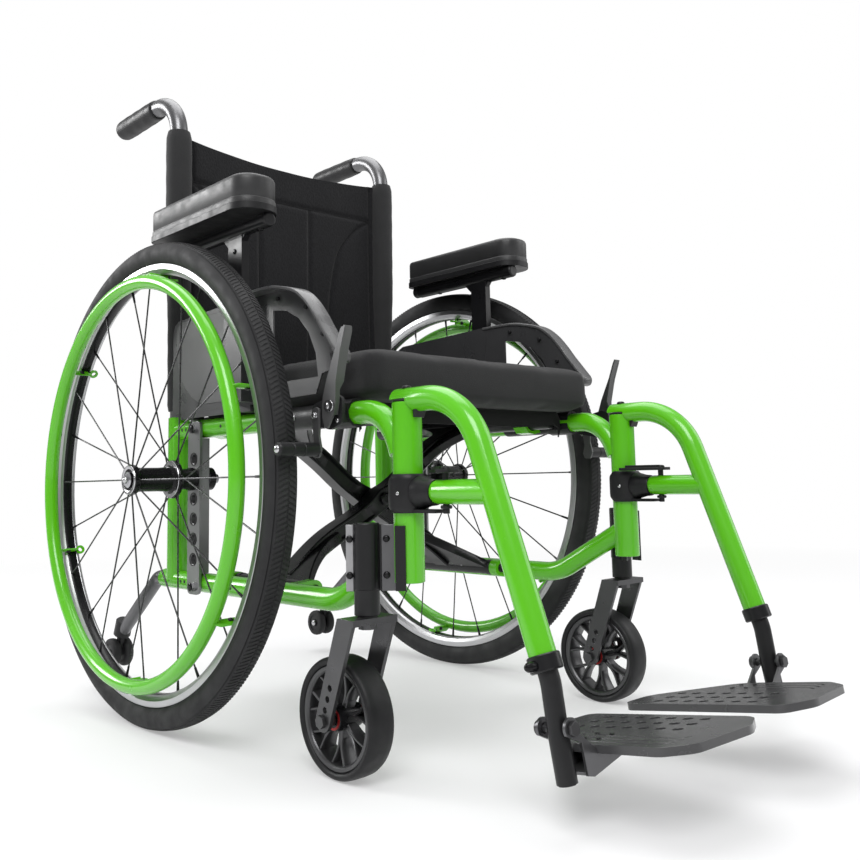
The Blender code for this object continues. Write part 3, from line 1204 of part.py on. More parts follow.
def build_side(side, base):
    """All pieces of one side. What moves hangs from an empty on its joint."""
    s = SIDES[side]
    x = s * FRAME_X
    fixed = [side_frame(side, s), axle_plate(side, s), axle(side, s), back_cane(side, s), push_grip(side, s),
             caster_housing(side, s), side_panel(side, s), brake_clamp(side, s)]
    if base:
        hang(base, *fixed)

    wheel = joint(f"joint_wheel_{side}", base, (s * WHEEL_X, 0, WHEEL_R))
    hang(wheel, rear_tyre(side, s), rear_rim(side, s), wheel_hub(side, s), handrim(side, s))
    hang(joint(f"joint_axle_button_{side}", base, (s * WHEEL_X, 0, WHEEL_R)), axle_button(side, s))

    swivel = joint(f"joint_caster_swivel_{side}", base, (s * STEM_X, STEM_Y, FORK_TOP))
    hang(swivel, caster_fork(side, s), caster_axle(side, s))
    roll = joint(f"joint_caster_wheel_{side}", swivel, (s * STEM_X, CASTER_Y, CASTER_R))
    hang(roll, caster_wheel(side, s), caster_tyre(side, s))

    lift = joint(f"joint_armrest_{side}", base, (s * POST_BAR_X, POST_BAR_Y, PANEL_TOP))
    hang(lift, armrest_post(side, s), arm_pad(side, s))

    hang(joint(f"joint_brake_lever_{side}", base, (s * BRAKE_X, LEVER_Y, LEVER_Z)), brake_lever(side, s))
    hang(joint(f"joint_brake_shoe_{side}", base, (s * BRAKE_X, SHOE_Y, SHOE_Z)), brake_shoe(side, s))

    swing = joint(f"joint_hanger_{side}", base, (x, POST_Y, HANGER_Z))
    hang(swing, hanger(side, s))
    hang(joint(f"joint_latch_{side}", swing, tuple(latch_pin(s))), hanger_latch(side, s))
    leg = joint(f"joint_footrest_{side}", swing, (x, *HANGER_END))
    hang(leg, footrest_tube(side, s))
    hang(joint(f"joint_footplate_{side}", leg, (x, FLIP_Y, FLIP_Z)), footplate(side, s))

    tip = joint(f"joint_anti_tip_{side}", base, (x, LOWER_REAR_Y, LOWER_Z))
    hang(tip, anti_tip_tube(side, s))
    hang(joint(f"joint_anti_tip_wheels_{side}", tip, (x, *TIP_WHEEL)), anti_tip_wheels(side, s))


def build():
    clear_scene()
    build_side("right", None)
    fold = joint("joint_fold", None, (-BRACE_X, BRACE_Y, BRACE_Z))
    hang(fold, cross_arm("b", 1, ARM_B_Y))
    middle = joint("joint_brace_middle", fold, (0, BRACE_Y, BRACE_MID_Z))
    hang(middle, cross_arm("a", -1, ARM_A_Y), brace_bolt())
    build_side("left", joint("joint_brace_left", middle, (BRACE_X, BRACE_Y, BRACE_Z)))
    seat_sling()
    cushion()
    back_upholstery()
    shift = -(WHEEL_R + FOOTPLATE_FRONT) / 2
    for obj in bpy.data.objects:
        if not obj.parent:
            obj.location.y += shift


build()
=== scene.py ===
import json
import math

import bmesh
import bpy
from mathutils import Matrix, Vector, noise

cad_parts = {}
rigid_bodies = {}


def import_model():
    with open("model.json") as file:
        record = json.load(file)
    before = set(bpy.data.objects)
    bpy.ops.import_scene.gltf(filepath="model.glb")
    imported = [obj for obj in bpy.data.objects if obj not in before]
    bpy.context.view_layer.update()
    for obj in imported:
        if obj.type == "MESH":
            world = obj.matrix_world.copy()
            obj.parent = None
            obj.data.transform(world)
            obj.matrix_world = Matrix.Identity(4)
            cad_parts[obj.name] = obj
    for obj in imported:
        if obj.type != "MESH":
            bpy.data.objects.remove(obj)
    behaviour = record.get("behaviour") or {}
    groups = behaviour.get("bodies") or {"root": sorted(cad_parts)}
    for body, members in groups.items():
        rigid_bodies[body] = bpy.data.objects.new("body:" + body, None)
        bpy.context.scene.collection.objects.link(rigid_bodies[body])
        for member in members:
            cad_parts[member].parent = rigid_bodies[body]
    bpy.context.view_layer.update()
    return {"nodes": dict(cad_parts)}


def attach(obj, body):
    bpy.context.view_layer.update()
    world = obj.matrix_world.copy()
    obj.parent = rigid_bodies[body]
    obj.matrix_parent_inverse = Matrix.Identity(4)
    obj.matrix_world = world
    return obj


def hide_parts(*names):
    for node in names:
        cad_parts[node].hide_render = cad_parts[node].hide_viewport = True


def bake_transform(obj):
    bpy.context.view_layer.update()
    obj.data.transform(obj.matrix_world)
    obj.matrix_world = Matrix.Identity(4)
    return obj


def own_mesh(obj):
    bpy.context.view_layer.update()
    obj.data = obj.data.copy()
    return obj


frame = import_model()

# Sizes of the chair, in metres, from its rear axle: -Y is forward, the left side is +X
SHIFT = 0.1945
SIDES = {"right": -1, "left": 1}
FRAME_X, WHEEL_X, WHEEL_R = 0.19, 0.268, 0.305
RIM_OUTER, RIM_INNER = 0.276, 0.262
TUBE_R, POST_R = 0.0127, 0.0155
POST_Y, RAIL_Z, LOWER_Z = -0.4025, 0.372, 0.169
UPRIGHT_Y, HANDLE_Z, LEAN = 0.072, 0.863, 0.004
STEM_X, STEM_Y, CASTER_Y, CASTER_R = 0.2207, -0.3718, -0.3345, 0.0605
BRACE_X, BRACE_Y, BRACE_Z, SEAT_RAIL_Z, SEAT_RAIL_R = 0.1635, -0.119, 0.172, 0.376, 0.0125
HANGER_Z, HANGER_LEAN, HANGER_FOOT, CROSSBAR_Z = 0.3795, math.radians(20), (-0.571, 0.145), 0.286
FLIP_Y, FLIP_Z, TILT, PLATE_Z = -0.5834, 0.0867, math.radians(8.5), 0.0687
BACK_LOW, BACK_TOP, PANEL_TOP = 0.4, 0.808, 0.529

# Strengths of the floor's glow and of the sky's light, and counts
FLOOR_GLOW, SKY_LOW, SKY_HIGH = 0.35, 0.16, 0.62
CLOTH_FRAMES, TREAD_BLOCKS, SPOKES = 20, 330, 12


# Shapes: each is a list of points and a list of faces
def mm(*rows, at=(0, 0, 0), s=1):
    """Points typed in millimetres from a place, as metres. The first size is mirrored for side s."""
    return [tuple(way * (base + size / 1000) for way, base, size in zip((s, 1, 1), at, row)) for row in rows]


def rings(loops, closed=False):
    """A skin over a row of loops, with flat ends unless it closes on itself."""
    count = len(loops[0])
    points = [Vector(p) for loop in loops for p in loop]
    faces = []
    rows = list(range(len(loops)))
    pairs = list(zip(rows, rows[1:])) + ([(rows[-1], rows[0])] if closed else [])
    for a, b in pairs:
        for i in range(count):
            j = (i + 1) % count
            faces.append((a * count + i, a * count + j, b * count + j, b * count + i))
    if not closed:
        faces.append(tuple(range(count)))
        faces.append(tuple(reversed(range((len(loops) - 1) * count, len(loops) * count))))
    return points, faces


def moved(shape, matrix):
    """A shape turned and moved by a matrix."""
    return [matrix @ p for p in shape[0]], shape[1]


def turns(count, start=0.5):
    """Angles of equal steps round a circle."""
    return [2 * math.pi * (i + start) / count for i in range(count)]


def sweep(path, radius, sides=28, flat=1.0):
    """A bar along a path. radius may be a function of the share of the way along."""
    points = [Vector(p) for p in path]
    loops, side = [], None
    for i, p in enumerate(points):
        ahead = (points[min(i + 1, len(points) - 1)] - points[max(i - 1, 0)]).normalized()
        if side is None:
            side = ahead.orthogonal() if abs(ahead.x) > 0.9 else Vector((1, 0, 0))
        side = (side - ahead * side.dot(ahead)).normalized()
        up = side.cross(ahead)
        r = radius(i / (len(points) - 1)) if callable(radius) else radius
        loops.append([p + side * r * math.cos(a) + up * r * flat * math.sin(a) for a in turns(sides)])
    return rings(loops)


def rod(a, b, radius, sides=24, end=None, soft=0.0):
    """A straight bar between two points, with a small chamfer where soft is given."""
    a, b = Vector(a), Vector(b)
    end = radius if end is None else end
    if not soft:
        return sweep([a, b], lambda t: radius + (end - radius) * t, sides)
    d = (b - a).normalized() * soft
    radii = {0: radius - soft, 1: radius, 2: end, 3: end - soft}
    return sweep([a, a + d, b - d, b], lambda t: radii[round(t * 3)], sides)


def pole(x, y, low, high, radius, sides, soft=0.0):
    """An upright rod."""
    return rod((x, y, low), (x, y, high), radius, sides, soft=soft)


def beam(x0, x1, y, z, radius, sides, soft=0.0):
    """A rod that lies across the chair."""
    return rod((x0, y, z), (x1, y, z), radius, sides, soft=soft)


def lathe(profile, centre, sides=96, axis="X"):
    """A profile of distances along an axis and radii, turned round it."""
    loops = []
    for angle in turns(sides):
        c, d = math.cos(angle), math.sin(angle)
        loops.append([Vector(centre) + Vector({"X": (a, r * c, r * d), "Z": (r * c, r * d, a)}[axis])
                      for a, r in profile])
    return rings(loops, closed=True)


def turned(s, profile, centre, sides):
    """A lathed shape along a wheel's axle, outward on side s."""
    return lathe([(s * along, r) for along, r in profile], centre, sides)


def mirrored(half):
    """A profile and its mirror image, as one line."""
    return half + [(-a, r) for a, r in reversed(half)]


def slab(outline, low, high, across="X"):
    """A flat shape between two heights along an axis."""
    def at(p, d):
        return {"X": (d, p[0], p[1]), "Y": (p[0], d, p[1]), "Z": (p[0], p[1], d)}[across]
    return rings([[at(p, low) for p in outline], [at(p, high) for p in outline]])


def box(s, low, high):
    x0, x1 = sorted((s * low[0], s * high[0]))
    return slab([(x0, low[1]), (x1, low[1]), (x1, high[1]), (x0, high[1])], low[2], high[2], "Z")


def arc(centre, radius, start, end, steps):
    """Points of an arc between two angles in degrees."""
    angles = [math.radians(start + (end - start) * i / steps) for i in range(steps + 1)]
    return [(centre[0] + radius * math.cos(a), centre[1] + radius * math.sin(a)) for a in angles]


def bend(before, corner, after, radius, steps):
    """A corner rounded to a radius, as points."""
    if radius <= 0:
        return [corner]
    a, b = (before - corner).normalized(), (after - corner).normalized()
    half = a.angle(b) / 2
    centre = corner + (a + b).normalized() * (radius / math.sin(half))
    first, last = corner + a * (radius / math.tan(half)) - centre, corner + b * (radius / math.tan(half)) - centre
    sweep_angle = first.angle(last)
    out = []
    for i in range(steps + 1):
        t = i / steps
        mix = first * math.sin((1 - t) * sweep_angle) + last * math.sin(t * sweep_angle)
        out.append(centre + mix / math.sin(sweep_angle))
    return out


def rounded(corners, radii, steps=6):
    """A closed outline whose corners are rounded, each to its own radius."""
    out, count = [], len(corners)
    for i, radius in enumerate(radii):
        out += bend(Vector(corners[i - 1]), Vector(corners[i]), Vector(corners[(i + 1) % count]), radius, steps)
    return [tuple(p) for p in out]


def oblong(x0, x1, y0, y1, radii, steps, parts):
    """A rounded rectangle whose straight sides are cut into parts."""
    line, out = rounded([(x0, y0), (x1, y0), (x1, y1), (x0, y1)], radii, steps), []
    for i, (a, b) in enumerate(line):
        c, d = line[(i + 1) % len(line)]
        count = parts if i % (steps + 1) == steps else 1
        out += [(a + (c - a) * k / count, b + (d - b) * k / count) for k in range(count)]
    return out


def bent(corners, radii, steps=18):
    """The middle line of a bent tube, from its ends and corners."""
    points = [Vector(c) for c in corners]
    out = [points[0]]
    for i, radius in enumerate(radii, 1):
        out += bend(points[i - 1], points[i], points[i + 1], radius, steps)
    return out + [points[-1]]


def smooth_line(points, steps=8):
    """A smooth curve through points."""
    pts = [Vector(p) for p in points]
    pts = [pts[0] * 2 - pts[1]] + pts + [pts[-1] * 2 - pts[-2]]
    out = []
    for i in range(1, len(pts) - 2):
        a, b, c, d = pts[i - 1:i + 3]
        for k in range(steps):
            t = k / steps
            out.append(0.5 * (2 * b + (c - a) * t + (2 * a - 5 * b + 4 * c - d) * t * t
                              + (3 * b - a - 3 * c + d) * t ** 3))
    return out + [pts[-2]]


def dome(centre, axis, radius, height, sides=20):
    """A button or bolt head with a round top."""
    c, d = Vector(centre), Vector(axis).normalized()
    steps = [(0, 1), (0.45, 1), (0.75, 0.88), (0.93, 0.6), (1, 0.2)]
    return sweep([c + d * height * h for h, _ in steps], lambda t: radius * steps[round(t * 4)][1], sides)


# Materials
def rgb(colour):
    """A colour of two numbers is a grey: its red and green, and its blue."""
    return (colour[0], *colour) if len(colour) == 2 else colour


def shader(name, colour, rough, metal=0.0, coat=0.0, sheen=0.0):
    """A plain material, with its node tree and its shader."""
    made = bpy.data.materials.new(name)
    made.use_nodes = True
    tree = made.node_tree
    out = tree.nodes["Principled BSDF"]
    for key, value in (("Base Color", (*rgb(colour), 1)), ("Roughness", rough), ("Metallic", metal),
                       ("Coat Weight", coat), ("Coat Roughness", 0.05), ("Sheen Weight", sheen)):
        out.inputs[key].default_value = value
    return made, tree, out


def shader_node(tree, kind, **values):
    """A new node of a material, with the values of its sockets."""
    made = tree.nodes.new("ShaderNode" + kind)
    for key, value in values.items():
        made.inputs[key].default_value = value
    return made


def place(tree, stretch=(1, 1, 1)):
    """The coordinates of a texture, stretched along each axis."""
    where, scale = shader_node(tree, "TexCoord"), shader_node(tree, "Mapping", Scale=stretch)
    tree.links.new(where.outputs["Object"], scale.inputs["Vector"])
    return scale.outputs["Vector"]


def grain(tree, scale, detail=2.0, stretch=(1, 1, 1)):
    """A fine noise."""
    made = shader_node(tree, "TexNoise", Scale=scale, Detail=detail)
    tree.links.new(place(tree, stretch), made.inputs["Vector"])
    return made.outputs["Fac"]


def cells(tree, scale, stretch=(1, 1, 1)):
    """A pattern of small cells, such as threads."""
    made = shader_node(tree, "TexVoronoi", Scale=scale)
    tree.links.new(place(tree, stretch), made.inputs["Vector"])
    return made.outputs["Distance"]


def spread(tree, fac, low, high, start=0.3, end=0.7):
    """A pattern's values brought between two numbers."""
    made = shader_node(tree, "MapRange", **{"From Min": start, "From Max": end, "To Min": low, "To Max": high})
    tree.links.new(fac, made.inputs["Value"])
    return made.outputs["Result"]


def blend_colours(tree, fac, first, second):
    """Two colours mixed by a pattern."""
    made = shader_node(tree, "Mix")
    made.data_type = "RGBA"
    made.inputs["A"].default_value, made.inputs["B"].default_value = (*rgb(first), 1), (*rgb(second), 1)
    tree.links.new(fac, made.inputs["Factor"])
    return made.outputs["Result"]


def raise_up(tree, out, height, strength, distance):
    """A pattern as small heights on the surface."""
    made = shader_node(tree, "Bump", Strength=strength, Distance=distance)
    tree.links.new(height, made.inputs["Height"])
    tree.links.new(made.outputs["Normal"], out.inputs["Normal"])


def worn(name, colour, other, rough, spots, fine, height, metal=0.0, coat=0.0, sheen=0.0, stretch=(1, 1, 1),
         strength=0.35):
    """A finish whose colour and gloss vary a little, with a fine grain."""
    made, tree, out = shader(name, colour, sum(rough) / 2, metal, coat, sheen=sheen)
    share = spread(tree, grain(tree, spots, 4), 0, 1)
    tree.links.new(blend_colours(tree, share, colour, other), out.inputs["Base Color"])
    tree.links.new(spread(tree, grain(tree, spots * 3, 3), *rough), out.inputs["Roughness"])
    raise_up(tree, out, grain(tree, fine, 2, stretch), strength, height)
    return made


def cloth(name, colour, other, thread=1100.0, hole=False):
    """Woven cloth: fine cells for the threads, and a wider mesh where the cloth is open. Its second colour is painted
    shade in the dents between the threads and in the mesh holes, and the tone also varies a little at random.
    """
    made, tree, out = shader(name, colour, 0.85, sheen=0.12)
    out.inputs["Sheen Roughness"].default_value = 0.5
    out.inputs["Specular IOR Level"].default_value = 0.2
    weave, mix = cells(tree, thread, (1, 1, 0.62) if hole else (1, 1, 1)), shader_node(tree, "Math")
    mix.operation = "MULTIPLY"
    tree.links.new(spread(tree, weave, 0.25, 1.0, 0.1, 0.6), mix.inputs[0])
    tree.links.new(spread(tree, grain(tree, 26, 4), 0.75, 1.0), mix.inputs[1])
    # painted shade: the darker second colour goes into the weave's dents and the mesh holes, mixed with a random tone
    tree.links.new(blend_colours(tree, mix.outputs["Value"], other, colour), out.inputs["Base Color"])
    raise_up(tree, out, weave, 0.55, 0.0007 if hole else 0.0003)
    return made


LOOKS = {
    "green": worn("green_paint", (0.105, 0.5, 0.006), (0.094, 0.47, 0.005), (0.2, 0.28), 9, 700, 0.00003, coat=0.35,
                  strength=0.12),
    "tyre": worn("tyre_rubber", (0.016, 0.017), (0.024, 0.025), (0.55, 0.75), 22, 1600, 0.0002),
    "tread": worn("tread_rubber", (0.019, 0.02), (0.029, 0.03), (0.55, 0.75), 30, 1600, 0.0002),
    "small_tyre": worn("caster_rubber", (0.008, 0.009), (0.014, 0.015), (0.4, 0.58), 26, 1600, 0.00012),
    "black": worn("black_plastic", (0.009, 0.01), (0.015, 0.016), (0.34, 0.5), 20, 2600, 0.0001),
    "gloss_black": worn("black_anodised", (0.006, 0.007), (0.011, 0.012), (0.18, 0.3), 20, 900, 0.00004, metal=0.2),
    "satin_black": worn("satin_black_paint", (0.006, 0.007), (0.01, 0.011), (0.26, 0.38), 12, 1500, 0.00005,
                        coat=0.1),
    "charcoal": worn("charcoal_paint", (0.018, 0.019), (0.027, 0.028), (0.28, 0.42), 14, 1600, 0.00005, metal=0.3),
    "fork": worn("dark_anodised", (0.078, 0.081), (0.098, 0.101), (0.26, 0.38), 14, 700, 0.00004, metal=0.8,
                 stretch=(1, 1, 0.1)),
    "plate": worn("footplate_plastic", (0.052, 0.054), (0.062, 0.064), (0.2, 0.28), 16, 2200, 0.0001),
    "anodised": worn("grey_anodised", (0.12, 0.125), (0.15, 0.155), (0.28, 0.4), 16, 500, 0.00004, metal=0.8,
                     stretch=(1, 1, 0.1)),
    "axle_plate": worn("bright_anodised", (0.22, 0.225), (0.26, 0.265), (0.26, 0.36), 16, 500, 0.00004, metal=0.8),
    "silver": worn("brushed_silver", (0.46, 0.48), (0.38, 0.4), (0.2, 0.32), 14, 600, 0.00003, metal=1.0,
                   stretch=(0.1, 1, 1)),
    "cane": worn("satin_cane", (0.165, 0.17), (0.158, 0.163), (0.34, 0.37), 14, 600, 0.00003, metal=0.95),
    # the second colour of each cloth is painted shade for the gaps of the weave
    "sleeve": cloth("sleeve_cloth", (0.03, 0.031), (0.016, 0.017), 1300.0),
    "flange": worn("light_flange", (0.38, 0.39), (0.32, 0.33), (0.3, 0.42), 18, 700, 0.00003, metal=0.6),
    "steel": worn("bright_steel", (0.55, 0.56), (0.42, 0.43), (0.16, 0.3), 30, 900, 0.00002, metal=1.0),
    "rim": worn("machined_rim", (0.5, 0.51), (0.46, 0.47), (0.3, 0.34), 18, 1400, 0.00004, metal=0.95),
    "spoke": worn("dark_spoke", (0.05, 0.052), (0.08, 0.082), (0.22, 0.34), 40, 900, 0.00002, metal=0.9),
    "guard": worn("grey_guard", (0.034, 0.036), (0.048, 0.05), (0.26, 0.38), 10, 1800, 0.00007),
    "pad": worn("pad_skin", (0.016, 0.017), (0.023, 0.024), (0.36, 0.52), 26, 1300, 0.00025, sheen=0.1),
    "arm_metal": worn("arm_paint", (0.022, 0.023), (0.03, 0.031), (0.3, 0.42), 16, 1500, 0.00005, metal=0.3),
    "lever": worn("lever_steel", (0.085, 0.086, 0.087), (0.11, 0.112), (0.3, 0.42), 18, 900, 0.00004, metal=0.6),
    "shield": worn("grey_shield", (0.07, 0.072), (0.08, 0.082), (0.3, 0.42), 10, 1700, 0.00006),
    # painted highlight: the mudguard rim gets a lighter copy of the guard's grey, standing in for light that the rim
    # reflects
    "guard_rim_painted_highlight": worn("mudguard_rim", (0.076, 0.078), (0.092, 0.094), (0.24, 0.34), 12, 1500, 0.00005),
    "red": worn("red_ring", (0.36, 0.014, 0.014), (0.28, 0.01, 0.01), (0.3, 0.42), 30, 900, 0.00004, metal=0.5),
    # second colours: painted shade in the gaps of the weave and in the mesh holes
    "cloth": cloth("black_cloth", (0.02, 0.021), (0.01, 0.0105)),
    "edge_cloth": cloth("edge_tape", (0.006, 0.0065), (0.003, 0.003), 1500.0),
    "mesh_cloth": cloth("open_mesh_cloth", (0.011, 0.0125), (0.003, 0.0035), 420.0, True),
}
# Black finishes reflect less than a plain plastic
for dim in ("satin_black", "black", "gloss_black", "charcoal", "tyre", "tread", "small_tyre"):
    LOOKS[dim].node_tree.nodes["Principled BSDF"].inputs["Specular IOR Level"].default_value = 0.28


def show(name, data):
    """A new object in the scene."""
    obj = bpy.data.objects.new(name, data)
    bpy.context.scene.collection.objects.link(obj)
    return obj


def rounding(obj, width, angle=34):
    """Rounds the sharp edges a little, so that they catch the light."""
    step = obj.modifiers.new("edges", "BEVEL")
    step.width = width
    step.segments = 2
    step.limit_method = "ANGLE"
    step.angle_limit = math.radians(angle)
    step.use_clamp_overlap = True


def piece(name, shapes, look, body=None, edge=0.0, smooth=32, replaces=(), cuts=()):
    """One visible piece, made of one or more shapes, with its material and the body that it rides on."""
    if isinstance(shapes, tuple):
        shapes = [shapes]
    points, faces = [], []
    for p, f in shapes:
        start = len(points)
        points += p
        faces += [tuple(start + i for i in face) for face in f]
    mesh = bpy.data.meshes.new(name)
    mesh.from_pydata(points, [], faces)
    bm = bmesh.new()
    bm.from_mesh(mesh)
    bmesh.ops.remove_doubles(bm, verts=bm.verts, dist=2e-6)
    bmesh.ops.recalc_face_normals(bm, faces=bm.faces)
    bmesh.ops.translate(bm, verts=bm.verts, vec=(0, SHIFT, 0))
    bm.to_mesh(mesh)
    bm.free()
    obj = show(name, mesh)
    if cuts:
        carve(obj, cuts)
    mesh = obj.data
    mesh.materials.clear()
    mesh.materials.append(LOOKS[look])
    mesh.shade_smooth()
    mesh.set_sharp_from_angle(angle=math.radians(smooth))
    if edge:
        rounding(obj, edge)
    if body:
        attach(obj, body)
    if replaces:
        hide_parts(*replaces)
    return obj


def part(name, side, shapes, look, body=None, replaces=None, **how):
    """A piece of one side, which rides on the body named or else on that side's frame."""
    rides = f"{body}_{side}" if body else f"{side}_side"
    return piece(f"{name}_{side}", shapes, look, rides, replaces=[f"{replaces}_{side}"] if replaces else (), **how)


def carve(obj, cutters):
    """Cuts shapes out of a piece."""
    cutter = piece("cutter", cutters, "black")
    step = obj.modifiers.new("cut", "BOOLEAN")
    step.operation, step.solver, step.object, step.use_self = "DIFFERENCE", "EXACT", cutter, True
    graph = bpy.context.evaluated_depsgraph_get()
    made = bpy.data.meshes.new_from_object(obj.evaluated_get(graph))
    obj.modifiers.clear()
    obj.data = made
    bpy.data.objects.remove(cutter)


def smoother():
    """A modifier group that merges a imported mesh's points and shades it smooth between its sharp edges."""
    group = bpy.data.node_groups.new("smooth_by_angle", "GeometryNodeTree")
    group.interface.new_socket("Geometry", in_out="INPUT", socket_type="NodeSocketGeometry")
    group.interface.new_socket("Geometry", in_out="OUTPUT", socket_type="NodeSocketGeometry")
    add, link = group.nodes.new, group.links.new
    start, end = add("NodeGroupInput"), add("NodeGroupOutput")
    bare = add("GeometryNodeRemoveAttribute")
    bare.inputs["Name"].default_value = "custom_normal"
    merge = add("GeometryNodeMergeByDistance")
    merge.inputs["Distance"].default_value = 5e-6
    faces, edges = add("GeometryNodeSetShadeSmooth"), add("GeometryNodeSetShadeSmooth")
    edges.domain = "EDGE"
    edges.inputs["Shade Smooth"].default_value = False
    angle, over = add("GeometryNodeInputMeshEdgeAngle"), add("FunctionNodeCompare")
    over.operation = "GREATER_THAN"
    over.inputs["B"].default_value = math.radians(34)
    link(angle.outputs["Unsigned Angle"], over.inputs["A"])
    link(over.outputs["Result"], edges.inputs["Selection"])
    for a, b in ((start, bare), (bare, merge), (merge, faces), (faces, edges), (edges, end)):
        link(a.outputs["Geometry"], b.inputs["Geometry"])
    return group


SMOOTHER = smoother()


def dress(node, look, edge):
    """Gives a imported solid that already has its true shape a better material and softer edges."""
    obj = frame["nodes"][node]
    obj.data.materials.clear()
    obj.data.materials.append(LOOKS[look])
    obj.modifiers.new("smooth", "NODES").node_group = SMOOTHER
    rounding(obj, edge, 40)
    obj.modifiers.new("smooth_again", "NODES").node_group = SMOOTHER


# Wheels
def rear_tyre(side, s):
    """The tyre, and the slanting blocks of its tread."""
    half = (mm((12, 0.3), (13.5, 2), (16.2, 6.5), (17.4, 12.5), (17, 17), at=(0, RIM_OUTER))
            + mm((15.2, -7.2), (14, -5.2), (13.6, -5.2), (13.1, -6), (12.6, -6), (12.1, -4), (10, -2.6), (6, -1.5),
                 (1.6, -1), at=(0, WHEEL_R)))
    centre = (s * WHEEL_X, 0, WHEEL_R)
    part("tyre", side, lathe(mirrored(half), centre, 144), "tyre", "wheel", smooth=50, replaces="rear_tyre")
    tread, pitch = [], 2 * math.pi / TREAD_BLOCKS
    for i in range(TREAD_BLOCKS):
        for way in (-1, 1):
            corners = []
            for x, r, late in ((0.0012, 0.305, 0.0), (0.0062, 0.3044, 0.0022), (0.0114, 0.3029, 0.0052)):
                for start in (0.0, 0.0033):
                    turn = pitch * i + (late + start) / WHEEL_R + (0 if way > 0 else 0.5 * pitch)
                    for rr in (r - 0.0003, r - 0.0028):
                        corners.append(Vector((way * x, rr * math.cos(turn), rr * math.sin(turn))))
            faces = []
            for k in (0, 4):
                faces += [(k, k + 2, k + 6, k + 4), (k, k + 4, k + 5, k + 1), (k + 2, k + 3, k + 7, k + 6)]
            faces += [(0, 1, 3, 2), (8, 10, 11, 9)]
            tread.append(moved((corners, faces), Matrix.Translation(centre)))
    part("tread", side, tread, "tread", "wheel", smooth=20)


def rear_wheel(side, s):
    """The rim, the spokes in two rings, the hub and the handrim on its six tabs."""
    centre = Vector((s * WHEEL_X, 0, WHEEL_R))
    wall = (mm((12.6, 0.2), (13, -0.6), (13, -6.8), (11.6, -8.8), at=(0, RIM_OUTER))
            + mm((9.8, 2.4), (6.8, 0.5), (6, 0.8), (6, 3.4), at=(0, RIM_INNER))
            + mm((9.4, -6), (10, 0.2), at=(0, RIM_OUTER)))
    part("rim_wall", side, [turned(way, wall, centre, 144) for way in (-1, 1)], "rim", "wheel", smooth=24,
         replaces="rear_rim")
    well = mm((-6.1, 0.7), (-5.2, 0), (5.2, 0), (6.1, 0.7), (6.1, 3), (-6.1, 3), at=(0, RIM_INNER))
    part("rim_well", side, lathe(well, centre, 144), "gloss_black", "wheel", smooth=40)
    spokes, nipples, seat = [], [], RIM_INNER + 0.002
    for along, start, root, tip, lean in ((0.0255, 0.0, 0.0172, 0.004, 0.0),
                                          (-0.0305, 0.5, 0.0232, -0.004, math.radians(24))):
        for turn in turns(SPOKES, start):
            lean = -lean
            a = centre + Vector((s * along, root * math.cos(turn + lean), root * math.sin(turn + lean)))
            b = centre + Vector((s * tip, seat * math.cos(turn), seat * math.sin(turn)))
            spokes.append(rod(a, b, 0.00105, 8))
            nipples.append(rod(b, b + (a - b).normalized() * 0.0145, 0.0019, 10, 0.0014))
            spokes.append(dome(a - Vector((s * 0.0018, 0, 0)), (s, 0, 0), 0.0022, 0.003, 10))
    part("spokes", side, spokes, "spoke", "wheel", smooth=50)
    part("nipples", side, nipples, "black", "wheel", smooth=50)
    hub = mm((-36.5, 7), (-36.5, 15.5), (-35, 18.5), (-33.5, 24), (-32.5, 24.7), (-29, 24.7), (-27.8, 24), (-26.2, 19),
             (-23.5, 16.2), (-10, 15.2), (15, 15.2), (20.5, 15.8), (22.5, 18.4), (23.5, 18.8), (28.5, 18.8),
             (29.2, 18.2), (29.2, 7))
    part("hub", side, turned(s, hub, centre, 64), "gloss_black", "wheel", smooth=28, replaces="wheel_hub")
    ring = mm((28.8, 13.8), (29, 18), (30.2, 18.6), (31.2, 18), (31.2, 15), (30.5, 13.8))
    band = mm((-27.2, 19), (-27.2, 23.6), (-26.8, 24), (-26.2, 23.6), (-26.2, 19))
    part("hub_rings", side, [turned(s, p, centre, 64) for p in (ring, band)], "steel", "wheel")
    hand_r, tube_r, low = 0.2505, 0.009, RIM_INNER - 0.0056
    tube = [(tube_r * math.cos(a), hand_r + tube_r * math.sin(a)) for a in turns(20)]
    shapes, bolts = [lathe(tube, (s * (WHEEL_X + 0.029), 0, WHEEL_R), 144)], []
    tab = [(s * 0.0272, 0, hand_r + 0.003)] + mm((21, 0, 1.5), (11, 0, 1.2), (-6, 0, 1.2), at=(0, 0, low), s=s)
    tab, ring = sweep(tab, 0.0056, 16, 0.34), mm((0, 3.1), (0, 6.2), (2.4, 6.2), (2.4, 3.1))
    washer = lathe(ring, (s * -0.0105, 0, low), 20, "Z")
    head = dome((s * 0.0075, 0, low + 0.0022), (0, 0, -1), 0.004, 0.0052, 14)
    stud = pole(s * -0.0035, 0, low - 0.0003, RIM_INNER + 0.001, 0.0024, 12)
    for angle in turns(6, 0.125):
        turn = Matrix.Translation(centre) @ Matrix.Rotation(angle, 4, "X")
        shapes += [moved(tab, turn), moved(washer, turn)]
        bolts += [moved(head, turn), moved(stud, turn)]
    part("handrim_tube", side, shapes, "green", "wheel", smooth=50, replaces="handrim")
    part("handrim_bolts", side, bolts, "black", "wheel", smooth=50)


